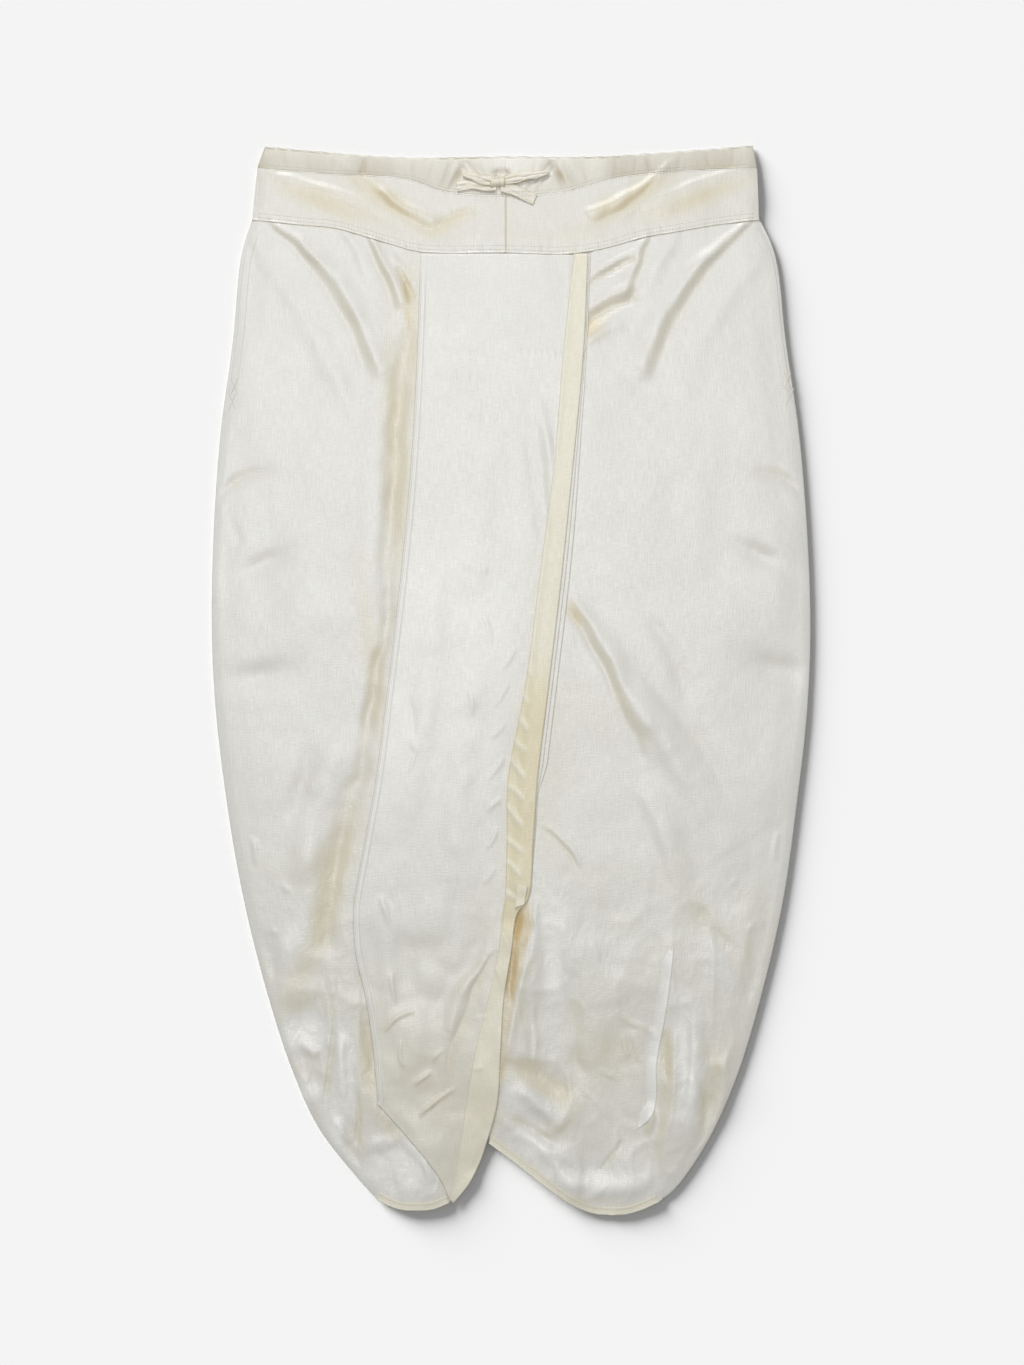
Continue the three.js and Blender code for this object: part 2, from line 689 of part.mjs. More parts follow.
const flapLow = (x, y) => restOn(layers, x, y) + LAY_GAP + foldHeight(FLAP_FOLDS, x, y);
const flap = lay(flapMain.map((row, r) => [...row, ...flapSide[r].slice(1)]), flapLow, PLEAT_WALL);
add('pleat_panel', wallSolid(flap), IVORY_SILK);

const facing = trimFrom(flap, [0, FLAP_ROWS], [FLAP_COLUMNS, FLAP_COLUMNS + FACING_COLUMNS], TRIM_WALL);
add('pleat_facing', wallSolid(facing), CREAM_SILK);

// Small corner of the facing, turned up at the lower end of its free edge
const cornerHigh = restOn([facing], CORNER_FOLD.x, CORNER_FOLD.y, CORNER_FOLD.width) + SEAM_GAP;
const cornerGrid = evenSteps(2).map((v) => evenSteps(2).map((u) => {
  const x = CORNER_FOLD.x + (u - 0.5) * CORNER_FOLD.width;
  const y = CORNER_FOLD.y + (0.5 - v) * CORNER_FOLD.height - u * CORNER_FOLD.slant;
  const low = cornerHigh + CORNER_FOLD.lift * v;
  return { x, y, low, high: low + TRIM_WALL };
}));
add('facing_corner', wallSolid(cornerGrid), CREAM_SILK);

// Drawstring bow: a knot, two loops and two flat ends on the casing and yoke
const bowPlaces = [-BOW_HALF_SPAN, 0, BOW_HALF_SPAN];
const bowRests = bowPlaces.map((dx) => restOn(waistPieces, KNOT.x + dx, KNOT.y, BOW_REACH));
const bowLow = Math.max(...bowRests) + LAY_GAP;
const knot = new THREE.SphereGeometry(1, 14, 10);
knot.scale(KNOT.halfLength, KNOT.halfWidth, KNOT.halfHeight);
knot.translate(KNOT.x, KNOT.y, bowLow + KNOT.halfHeight);
add('tie_knot', joined(knot), TIE_SILK);

// A loop is the ribbon doubled back on itself: a flat oval seen from the side
function loopGeometry({ x0, y0, x1, y1, height }) {
  const start = new THREE.Vector3(x0, y0, 0);
  const along = new THREE.Vector3(x1 - x0, y1 - y0, 0);
  const length = along.length();
  along.normalize();
  const across = new THREE.Vector3(-along.y, along.x, 0);
  const positions = [];
  for (let i = 0; i < LOOP_STEPS; i += 1) {
    const angle = (i / LOOP_STEPS) * 2 * Math.PI;
    const out = 0.5 * (1 - Math.cos(angle)) * length;
    const fullness = Math.sin(Math.PI * LOOP_SHAPE * (out / length));
    const width = TIE_WIDTH * (LOOP_PINCH + (1 - LOOP_PINCH) * fullness);
    for (const inset of [0, TIE_WALL]) {
      const run = inset + (out / length) * (length - 2 * inset);
      const rise = Math.sin(angle) * (height / 2 - inset);
      for (const side of [-0.5, 0.5]) {
        const point = start.clone().addScaledVector(along, run).addScaledVector(across, side * width);
        positions.push(point.x, point.y, bowLow + LOOP_RISE + height / 2 + rise);
      }
    }
  }
  const at = (i, k) => (i % LOOP_STEPS) * 4 + k;
  const index = [];
  const quad = (a, b, c, d) => index.push(a, b, c, a, c, d);
  for (let i = 0; i < LOOP_STEPS; i += 1) {
    quad(at(i, 0), at(i, 1), at(i + 1, 1), at(i + 1, 0));
    quad(at(i, 3), at(i, 2), at(i + 1, 2), at(i + 1, 3));
    quad(at(i, 2), at(i, 0), at(i + 1, 0), at(i + 1, 2));
    quad(at(i, 1), at(i, 3), at(i + 1, 3), at(i + 1, 1));
  }
  return solid(positions, index);
}

for (const loop of TIE_LOOPS) {
  add(loop.name, loopGeometry(loop), TIE_SILK);
}

for (const end of TIE_ENDS) {
  const line = curveThrough([
    { x: end.x0, y: end.y0 },
    { x: (end.x0 + end.x1) / 2, y: (end.y0 + end.y1) / 2 + end.bend },
    { x: end.x1, y: end.y1 },
  ]);
  const low = (x, y) => restOn(waistPieces, x, y, TRIM_REACH) + LAY_GAP;
  const ribbon = stripGrid(line, [-TIE_WIDTH / 2, 0, TIE_WIDTH / 2], TIE_STEPS, low, TIE_WALL);
  add(end.name, wallSolid(ribbon), TIE_SILK);
}

export default garment;
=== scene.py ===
# %% [markdown]
# # Stitched veshti trousers, laid flat
# A ready-made veshti: wide trousers of glossy ivory art silk with a front pleat panel, a yoke, an elastic
# waist casing and a drawstring. It lies on a pale surface, front up, and the camera looks straight down.
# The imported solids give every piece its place. This script covers each one with a thin shell of cloth that
# has finer folds, a weave and sewing. Lengths in the tables are millimetres, and MM turns them into
# Blender's metres.

import math

import bmesh
import bpy
import numpy as np
from mathutils import Matrix, Vector


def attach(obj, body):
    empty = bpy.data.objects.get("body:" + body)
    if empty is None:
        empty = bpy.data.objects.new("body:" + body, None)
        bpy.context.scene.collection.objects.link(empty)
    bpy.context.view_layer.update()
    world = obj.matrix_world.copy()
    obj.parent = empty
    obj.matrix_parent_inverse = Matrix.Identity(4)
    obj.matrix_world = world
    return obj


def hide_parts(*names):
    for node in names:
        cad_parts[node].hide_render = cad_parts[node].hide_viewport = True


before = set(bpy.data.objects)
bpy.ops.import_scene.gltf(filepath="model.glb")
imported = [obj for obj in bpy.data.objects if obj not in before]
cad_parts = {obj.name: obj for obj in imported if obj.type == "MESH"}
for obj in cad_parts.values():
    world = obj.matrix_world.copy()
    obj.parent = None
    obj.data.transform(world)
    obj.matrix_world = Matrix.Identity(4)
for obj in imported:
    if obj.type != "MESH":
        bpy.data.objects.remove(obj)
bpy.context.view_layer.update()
MM = 0.001

# %% [markdown]
# ## Colours, nodes and objects
# Colours are written as the sRGB hex codes that an eye would pick from a shade card. A shader works in
# linear light, so one function turns them. Another adds a node with its settings and its links, and every
# material below is built with it.

# %% Helpers
SRGB_KNEE = 0.04045


def colour(code):
    """Linear red, green, blue and alpha of a hex code."""
    channels = [int(code[i:i + 2], 16) / 255 for i in (1, 3, 5)]
    return (*[c / 12.92 if c <= SRGB_KNEE else ((c + 0.055) / 1.055) ** 2.4 for c in channels], 1.0)


def node(tree, kind, inputs=None, **settings):
    """Adds a node. Inputs take a value, or another node's socket to link."""
    made = tree.nodes.new(kind)
    for name, value in settings.items():
        setattr(made, name, value)
    for key, value in (inputs or {}).items():
        if isinstance(value, bpy.types.NodeSocket):
            tree.links.new(value, made.inputs[key])
        else:
            made.inputs[key].default_value = value
    return made


def remap(tree, value, low, high, to_low, to_high):
    """A value from one span moved to another."""
    return node(tree, "ShaderNodeMapRange", {0: value, 1: low, 2: high, 3: to_low, 4: to_high}).outputs[0]


def noise(tree, vector, scale, detail, output=0):
    inputs = {"Vector": vector, "Scale": scale, "Detail": detail}
    return node(tree, "ShaderNodeTexNoise", inputs).outputs[output]


def new_material(name):
    """A material with an empty tree."""
    material = bpy.data.materials.new(name)
    material.use_nodes = True
    material.node_tree.nodes.clear()
    return material, material.node_tree


def add_object(name, data):
    """An object at the origin, in the scene."""
    made = bpy.data.objects.new(name, data)
    bpy.context.scene.collection.objects.link(made)
    return made


def finished_mesh(name, bm):
    mesh = bpy.data.meshes.new(name)
    bm.to_mesh(mesh)
    bm.free()
    return mesh


print("ivory in linear light:", [round(c, 3) for c in colour("#e3e2dc")])

# %% [markdown]
# ## Art silk
# Art silk is a filament yarn, viscose or polyester, woven plain and pressed. Long smooth filaments give a
# broad soft gloss, and the thicker weft yarns show as short level slubs. The real threads are about 0.25
# mm apart, too fine for this picture, so the slubs are drawn 0.9 mm tall and the warp lines 1.1 mm wide.
# Folds, dips and places where layers double get a warm painted shade, as if light bounced between ivory
# walls, and places that lie open to the light get a whiter painted highlight. One point attribute carries
# this painted light, from below 0 for painted highlight up to 1 for the deepest painted shade. The attribute
# "crease" says how much it is crinkled.

# %% Cloth material
SLUB_LENGTH, SLUB_HEIGHT, SLUB_DEPTH = 8, 0.9, 0.13
WARP_LENGTH, WARP_WIDTH = 14, 1.1
CLOUD_SIZE, CLOUD_TONE = 70, 0.05
CRINKLE_WIDTH, CRINKLE_LENGTH, CRINKLE_DEPTH = 7, 13, 1.1
CRINKLE_BEND, BEND_SIZE = 0.02, 30
# Lowest value of the painted light: the strongest painted highlight
STRONGEST_PAINTED_HIGHLIGHT = -0.3
GLOSS_SPREAD = 0.05
SHEEN = 0.12


def cloth_material(name, painted_highlight, light, painted_shade, deep_painted_shade, roughness):
    """Woven filament cloth. As its painted light rises, its colour goes from painted highlight, over its own
    colour, to a warm and then a deep painted shade.
    """
    material, tree = new_material(name)
    grain = node(tree, "ShaderNodeUVMap", uv_map="grain").outputs[0]

    def streaks(across, along, detail, place=grain):
        """Noise drawn out to a size in millimetres."""
        scale = (1 / (across * MM), 1 / (along * MM), 1)
        scaled = node(tree, "ShaderNodeMapping", {"Vector": place, "Scale": scale}).outputs[0]
        return noise(tree, scaled, 1.0, detail)

    def attribute(label):
        return node(tree, "ShaderNodeAttribute", attribute_name=label).outputs["Fac"]

    def combine(operation, a, b, kind="ShaderNodeMath"):
        return node(tree, kind, {0: a, 1: b}, operation=operation).outputs[0]

    weave = combine("ADD", streaks(SLUB_LENGTH, SLUB_HEIGHT, 3.0), streaks(WARP_WIDTH, WARP_LENGTH, 2.0))
    clouds = remap(tree, streaks(CLOUD_SIZE, CLOUD_SIZE, 2.0), 0.3, 0.7, -CLOUD_TONE, CLOUD_TONE)
    # Painted light from the point attribute, with random clouds of the cloth's own colour, sets the place on
    # the ramp
    depth = combine("ADD", attribute("painted_light"), clouds)
    ramp = node(tree, "ShaderNodeValToRGB", {"Fac": remap(tree, depth, STRONGEST_PAINTED_HIGHLIGHT, 1.0, 0.0, 1.0)})
    ramp.color_ramp.elements[0].color = colour(painted_highlight)
    ramp.color_ramp.elements[1].color = colour(deep_painted_shade)
    for level, code in ((0.0, light), (0.5, painted_shade)):
        stop = ramp.color_ramp.elements.new((level - STRONGEST_PAINTED_HIGHLIGHT) / (1 - STRONGEST_PAINTED_HIGHLIGHT))
        stop.color = colour(code)
    thread = remap(tree, weave, 0.65, 1.35, 0.94, 1.05)
    shade = node(tree, "ShaderNodeVectorMath", {0: ramp.outputs[0], "Scale": thread}, operation="SCALE")
    gloss = remap(tree, weave, 0.6, 1.4, roughness + GLOSS_SPREAD, roughness - GLOSS_SPREAD)
    warped = noise(tree, grain, 1 / (BEND_SIZE * MM), 1.0, "Color")
    bent = combine("MULTIPLY", warped, (CRINKLE_BEND, CRINKLE_BEND, 0.0), "ShaderNodeVectorMath")
    place = combine("ADD", grain, bent, "ShaderNodeVectorMath")
    rough = combine("MULTIPLY", streaks(CRINKLE_WIDTH, CRINKLE_LENGTH, 3.0, place), attribute("crease"))
    crinkle = node(tree, "ShaderNodeBump", {"Strength": 1.0, "Distance": CRINKLE_DEPTH * MM, "Height": rough})
    bump = node(tree, "ShaderNodeBump", {
        "Strength": 1.0, "Distance": SLUB_DEPTH * MM, "Height": weave, "Normal": crinkle.outputs[0],
    })
    shader = node(tree, "ShaderNodeBsdfPrincipled", {
        "Base Color": shade.outputs[0], "Roughness": gloss, "Normal": bump.outputs[0],
        "IOR": 1.6, "Sheen Weight": SHEEN, "Sheen Roughness": 0.35,
    })
    node(tree, "ShaderNodeOutputMaterial", {"Surface": shader.outputs[0]})
    return material


# Each cloth: a painted highlight colour, its own colour, a warm and a deep painted shade, and roughness
ivory = cloth_material("ivory_art_silk", "#f2f1ec", "#e3e2dc", "#dcd5bf", "#cbb27c", 0.36)
cream = cloth_material("cream_facing_silk", "#f2efe2", "#eae6d5", "#e3dbbd", "#c3ae72", 0.40)
casing = cloth_material("casing_art_silk", "#efeee8", "#e5e2d8", "#cdc8b9", "#b09a6c", 0.42)
tape = cloth_material("drawstring_art_silk", "#efeee8", "#e6e2d6", "#d6cba9", "#a58a4a", 0.42)

# %% [markdown]
# ## Sewing thread
# Polyester sewing thread is spun and slightly shiny, a shade paler than the cloth. Its twist shows as
# light and dark bands less than a millimetre long. The stitches themselves are modelled further down.

# %% Thread material
TWIST_SIZE = 0.8
pale_thread, thread_tree = new_material("polyester_thread_pale")
place = node(thread_tree, "ShaderNodeTexCoord").outputs["Object"]
twist = remap(thread_tree, noise(thread_tree, place, 1 / (TWIST_SIZE * MM), 1.0), 0.3, 0.7, 0.9, 1.04)
tint_inputs = {0: colour("#e4e1d6")[:3], "Scale": twist}
tint = node(thread_tree, "ShaderNodeVectorMath", tint_inputs, operation="SCALE")
shader = node(thread_tree, "ShaderNodeBsdfPrincipled", {"Base Color": tint.outputs[0], "Roughness": 0.5})
node(thread_tree, "ShaderNodeOutputMaterial", {"Surface": shader.outputs[0]})
print("thread:", pale_thread.name)

# %% [markdown]
# ## Lines of the pattern
# A dressmaker draws a pattern piece as a few measured points joined by smooth curves. The same is done
# here: a centripetal curve passes through the points without overshooting, and is then spaced evenly, so
# that a share of its length gives a place on it. Left and right are as the picture shows them.

# %% Edge tables, millimetres
CENTRE_SEAM = -6.6
SEAM_GAP = 0.3
# Levels of the side edges: y, left x, right x
WAIST_SIDES = [(500, -231, 227), (482, -238, 231), (459, -238, 236), (433, -243, 233)]
LEG_SIDES = [
    (399, -253, 248), (320, -261, 258), (219, -274, 272), (76, -281, 281), (-18, -278, 279),
    (-120, -266, 268), (-210, -250, 255), (-300, -227, 234), (-372, -203, 212),
]
CORNERS = {-1: [(-180, -421), (-144, -467), (-126, -487)], 1: [(185, -432), (154, -477), (139, -489)]}
# Seams across the front, from left to right
WAIST_EDGE = [(-231, 499), (-133, 491), (-84, 489), (-7, 490), (84, 490), (131, 493), (227, 500)]
CASING_SEAM = [
    (-238, 482), (-173, 477), (-98, 472), (-61, 460), (-7, 456), (51, 460), (98, 473), (169, 480), (231, 482),
]
YOKE_SEAM = [
    (-243, 433), (-196, 428), (-165, 425), (-116, 411), (-86, 403), (-7, 402),
    (55, 401), (87, 406), (127, 417), (152, 421), (192, 428), (233, 433),
]
# Leg openings, from the side edge inwards
HEMS = {
    -1: [(-126, -487), (-108, -495), (-92, -497), (-74, -496), (-58, -490)],
    1: [(139, -489), (121, -497), (105, -501), (78, -500), (56, -491), (33, -475), (6, -454), (-21, -434)],
}
# Edges between the legs, from the yoke down
FRONT_INNER = {
    -1: [(-6.75, 402), (-8, 200), (-10, -18), (-14, -205), (-22, -350), (-33, -434),
         (-43, -460), (-58, -490)],
    1: [(-6.45, 402), (-6, 200), (-5.4, -18), (-5, -169), (-6, -233), (-11, -295), (-14, -330), (-16, -356),
        (-19, -394), (-21, -434)],
}
BACK_INNER = {
    -1: [(-6.75, 402), (-7.4, 200), (-7.6, -100), (-8, -300), (-10, -350), (-14, -394), (-24, -434),
         (-40, -472), (-58, -490)],
    1: [(-6.45, 402), (-6, 200), (-5.8, -100), (-5.8, -300), (-7.4, -350), (-11.4, -394), (-21, -434)],
}
# Pleat panel: y, left fold, inner edge of the facing, right edge
PLEAT_LEVELS = [
    (400.3, -85, 59, 72), (309, -88, 49, 68), (201, -94, 40, 58), (93, -104, 26, 47), (0, -115, 14, 36),
    (-94, -127, -3, 25), (-150, -137, -4, 21), (-205, -147, -6, 16), (-218, -148, -8, 6),
    (-255, -146, -12, 0), (-300, -136, -22, -7), (-350, -129, -34, -10), (-397, -125, -42, -13),
]
PLEAT_LOW_EDGE = [(-125, -397), (-101, -424), (-76, -454), (-64, -472), (-57, -488)]
FACING_TIP = [(-47, -432), (-52, -466), (-57, -488)]
PLEAT_TIP = [(-23, -434), (-30, -454), (-40, -473), (-54, -490)]
UNDER_PLEAT_END = (17, -192)
PLEAT_EDGE_RIGHT = [
    (154, -238), (150, -278), (144, -320), (137, -358), (134, -405), (122, -419), (104, -431), (84, -458),
]

# %% Smooth lines
LINE_POINTS = 700
SPAN_STEPS = 24
SIDES = ((-1, "left"), (1, "right"))


def blend(a, b, t, start, end):
    return (end - t) / (end - start) * a + (t - start) / (end - start) * b


def smooth_line(points):
    """Centripetal curve through the points, as places evenly spaced along it."""
    p = np.array(points, float)
    p = np.vstack([2 * p[0] - p[1], p, 2 * p[-1] - p[-2]])
    made = []
    for a, b, c, d in zip(p, p[1:], p[2:], p[3:]):
        t1 = np.linalg.norm(b - a) ** 0.5
        t2 = t1 + np.linalg.norm(c - b) ** 0.5
        t3 = t2 + np.linalg.norm(d - c) ** 0.5
        t = np.linspace(t1, t2, SPAN_STEPS, endpoint=False)[:, None]
        bc = blend(b, c, t, t1, t2)
        abc = blend(blend(a, b, t, 0, t1), bc, t, 0, t2)
        bcd = blend(bc, blend(c, d, t, t2, t3), t, t1, t3)
        made.append(blend(abc, bcd, t, t1, t2))
    return even(np.vstack([*made, p[-2:-1]]), LINE_POINTS)


def even(points, count):
    """The same line with evenly spaced places."""
    run = np.concatenate([[0], np.cumsum(np.linalg.norm(np.diff(points, axis=0), axis=1))])
    share = np.linspace(0, run[-1], count)
    return np.stack([np.interp(share, run, points[:, k]) for k in range(points.shape[1])], 1)


def straight(a, b, count=LINE_POINTS):
    return even(np.array([a, b], float), count)


def along(line, share):
    """Places at shares, 0 to 1, of a line's length."""
    at = np.asarray(share) * (len(line) - 1)
    index = np.arange(len(line))
    return np.stack([np.interp(at, index, line[:, k]) for k in range(line.shape[1])], -1)


def side_line(sign):
    """Side edge from the yoke seam down to the leg opening's corner."""
    column = 1 if sign < 0 else 2
    return [(row[column], row[0]) for row in WAIST_SIDES[3:] + LEG_SIDES] + CORNERS[sign]


def half_seam(seam, sign):
    """One side's half of a seam, from the side edge to the centre seam."""
    x, y = np.array(seam).T
    kept = [p for p in seam if (p[0] - CENTRE_SEAM) * sign > 3]
    if sign > 0:
        kept = kept[::-1]
    return smooth_line(kept + [(CENTRE_SEAM + sign * SEAM_GAP / 2, float(np.interp(CENTRE_SEAM, x, y)))])


def waist_side(column):
    return [(row[column], row[0]) for row in WAIST_SIDES[:3]]


side_edges = [smooth_line(waist_side(column) + side_line(sign)) for column, sign in ((1, -1), (2, 1))]
hem_edges = [smooth_line(HEMS[sign]) for sign, word in SIDES]
lengths = [float(np.linalg.norm(np.diff(edge, axis=0), axis=1).sum()) for edge in side_edges]
print("side edge lengths, mm:", [round(length) for length in lengths])

# %% [markdown]
# ## Panels
# A panel is filled between its four edge lines: the places halfway between two edges are blended from
# both, and the corners, which would count twice, are taken off. Its steps stand closer together where the
# cloth bends most.

# %% Panels between lines


def panel(top, bottom, outer, inner, across, down):
    """Places between four edge lines: across runs from outer to inner, and down from top to bottom."""
    u, v = np.meshgrid(across, down)
    u, v = u[..., None], v[..., None]
    edges = (1 - u) * along(outer, v[..., 0]) + u * along(inner, v[..., 0])
    edges += (1 - v) * along(top, u[..., 0]) + v * along(bottom, u[..., 0])
    corners = (1 - u) * (1 - v) * top[0] + u * (1 - v) * top[-1]
    corners += (1 - u) * v * bottom[0] + u * v * bottom[-1]
    return edges - corners


def steps(length, middle, first=None, last=None, fade=14):
    """Shares of a length, `middle` mm apart, and closer where an end has its own spacing."""
    place, made = 0.0, [0.0]
    while place < length:
        gap = middle
        if first:
            gap = min(gap, first + (middle - first) * place / fade)
        if last:
            gap = min(gap, last + (middle - last) * max(length - place, 0) / fade)
        place += gap
        made.append(place)
    return np.array(made) / made[-1]


print("steps down a leg:", len(steps(930, 3.0, first=0.8, last=1.4)))

# %% [markdown]
# ## Folds
# Cloth that is laid down keeps soft folds. Each is a bent line with a rounded section: a ridge lifts the
# cloth and a trough lowers it. A row gives the line's ends, how far its middle bends aside, the half width
# at each end, the lift and, where one flank is steeper, how much. Real folds start narrow at a seam and
# widen as they run out, so the two widths differ. They could be simulated, but a simulation would put them
# somewhere else than the real garment has them.

# %% Fold tables, millimetres
# x0, y0, x1, y1, bend, width0, width1, lift, skew
FRONT_FOLDS = [
    # yoke, left half
    (-220, 474, -124, 438, 4, 5, 9, 1.7, -0.4), (-140, 470, -72, 420, -4, 4, 5, -0.9),
    (-152, 481, -66, 430, -5, 5, 9, 2, -0.4), (-72, 424, -36, 441, 3, 7, 6, -1.1),
    (-190, 462, -110, 426, 4, 4, 5, -0.8), (-228, 458, -160, 430, 3, 9, 9, 0.7),
    # yoke, right half
    (220, 480, 124, 442, -4, 5, 9, 1.7, 0.4), (138, 473, 76, 427, 4, 4, 5, -0.9),
    (148, 484, 70, 437, 5, 5, 9, 2, 0.4), (190, 468, 110, 431, -4, 4, 5, -0.8),
    (228, 460, 160, 432, -3, 9, 9, 0.7),
    # sunburst folds below the left end of the yoke seam: a steep lower flank, a long upper one
    (-222, 428, -121, 286, 15, 3.5, 13, 3.3, 0.45), (-226, 426, -133, 282, 12, 2, 5.5, -1),
    (-238, 404, -160, 262, 9, 10, 14, 0.9, 0.2), (-131, 413, -103, 352, 2, 3, 7, 2.4, 0.45),
    (-136, 413, -110, 346, 2, 1.6, 4, -0.8), (-158, 424, -126, 350, 4, 5, 7, 0.9),
    (-106, 388, -92, 356, 0, 2, 4, -2.2, 0.2), (-113, 402, -94, 372, 0, 2.5, 4, 1.2),
    (-196, 340, -150, 250, 5, 10, 8, 0.8), (-246, 424, -238, 395, -2, 2, 4, -0.8),
    # sunburst folds below the right end of the yoke seam
    (222, 428, 122, 290, -15, 3.5, 13, 3.3, -0.45), (226, 426, 134, 286, -12, 2, 5.5, -1),
    (238, 404, 160, 266, -9, 10, 14, 0.9, -0.2), (127, 413, 107, 360, -2, 3, 6, 2, -0.45),
    (131, 413, 113, 356, -2, 1.6, 4, -0.7), (158, 424, 126, 352, -4, 5, 7, 0.9),
    (70, 366, 120, 398, 2, 3, 2, -1.6, 0.3), (72, 378, 118, 402, 2, 3, 2, 1.2),
    (70, 331, 118, 358, 3, 6, 5, -2.4, 0.3), (76, 349, 122, 374, 3, 5, 5, 1.6),
    (70, 318, 106, 336, 2, 6, 6, 1.2), (108, 330, 132, 308, 0, 7, 6, -0.7),
    (246, 424, 240, 395, 2, 2, 4, -0.8),
    # the long trough beside the pleat panel
    (-97, 330, -116, 60, -4, 9, 7, -2.2), (-114, 60, -141, -95, -3, 5, 8, -2),
    (-142, -90, -174, -250, -6, 9, 11, -2.4, -0.2), (-162, -60, -196, -190, -6, 14, 18, 1.5),
    (-124, 300, -132, 60, -4, 14, 12, 0.7), (-188, -60, -206, -130, 2, 9, 9, -1),
    # long diagonals of the right leg
    (60, 72, 132, -66, 7, 5, 18, 2.3, 0.4), (50, 68, 122, -74, 7, 2, 6, -1),
    (116, -92, 158, -203, 6, 13, 10, 1.7, 0.35), (104, -12, 203, -164, 7, 14, 19, 2.3, 0.3),
    (124, 4, 206, -112, 6, 7, 9, -0.8), (134, 54, 166, -20, 4, 8, 9, -1.2),
    (28, -140, 62, -176, 4, 1.4, 1.6, -1.1, 0.3), (32, -136, 66, -172, 4, 2.2, 2.2, 0.8),
    (176, -214, 206, -250, -2, 9, 6, -1.4),
    # arcs and dips of the outer legs
    (-276, 170, -222, 195, 7, 3, 8, -1.5, 0.2), (273, 172, 228, 197, -5, 3, 8, -1.4, -0.2),
    (-262, 150, -256, 128, 1, 4, 5, -0.6), (-243, -150, -237, -172, 0, 2.2, 2.2, 0.8),
    (250, -142, 246, -168, 0, 2.2, 2.2, 0.8),
    # golden valley where the panel's edge lifts off the right leg
    (8, -204, 0, -300, -3, 9, 3, -2.2, -0.25), (22, -205, 23.5, -236, 0, 2.5, 3, 1.1, 0.4),
    (23, -236, -5, -350, -2, 3.5, 3.5, 1.3, 0.45),
    # creases round the knees of both legs
    (-117, -328, -90, -311, 4, 1.6, 1.6, 0.9, 0.3), (-89, -378, -75, -369, 1, 1.5, 1.5, 1, 0.3),
    (98, -308, 124, -323, -3, 1.6, 1.6, 1, -0.3), (124, -323, 137, -334, 0, 1.6, 1.4, 0.8),
    (84, -364, 99, -375, 0, 1.4, 1.4, 1), (67, -385, 92, -411, 1, 1.7, 1.4, 1.1, 0.2),
    (60, -345, 72, -372, -3, 6, 6, -0.9), (104, -332, 112, -352, -2, 2, 2, 0.6),
    (112, -338, 122, -362, -2, 3, 3, -0.8), (20, -305, 21, -357, 1, 2.5, 2.5, 0.9, 0.4),
    # lower right leg
    (4, -362, 58, -394, 2, 8, 10, -1.6), (-12, -374, 50, -420, 4, 11, 12, 2.8, 0.35),
    (0, -412, 44, -440, 2, 4, 5, -1.6), (4, -424, 46, -456, 3, 8, 8, 2, 0.2),
    (36, -446, 70, -470, 2, 4, 4, -1.2), (104, -432, 82, -458, 2, 1.8, 1.8, -1.2, 0.3),
    (40, -466, 132, -468, -9, 11, 10, 2.4), (172, -316, 158, -430, 5, 6, 8, 1.9, 0.25),
    (188, -330, 174, -440, 5, 6, 7, -1.5), (203, -352, 190, -420, 3, 4, 4, 1.4),
    (184, -426, 172, -444, 1, 2, 2, 0.9), (146, -330, 143, -372, 0, 3, 4, -1.6),
    (131, -402, 128, -424, 0, 4, 4, 1.4),
    # lower left leg
    (-169, -262, -170, -346, 2, 5, 4, 1.2), (-168, -296, -175, -392, 3, 2, 2, -1.5, 0.3),
    (-197, -338, -181, -352, -2, 6, 5, 1.5, 0.2), (-160, -336, -156, -392, -2, 5, 6, 1.9),
    (-137, -320, -130, -384, 2, 5, 6, -1.8), (-144, -386, -145, -434, 1, 2, 2.4, -1.2, 0.3),
    (-166, -412, -152, -434, 1, 5, 5, 1.6), (-140, -438, -106, -432, 2, 6, 6, 1.2),
    (-118, -446, -112, -478, 2, 4, 5, -0.9), (-96, -440, -74, -470, 2, 5, 5, 1.3, 0.2),
]
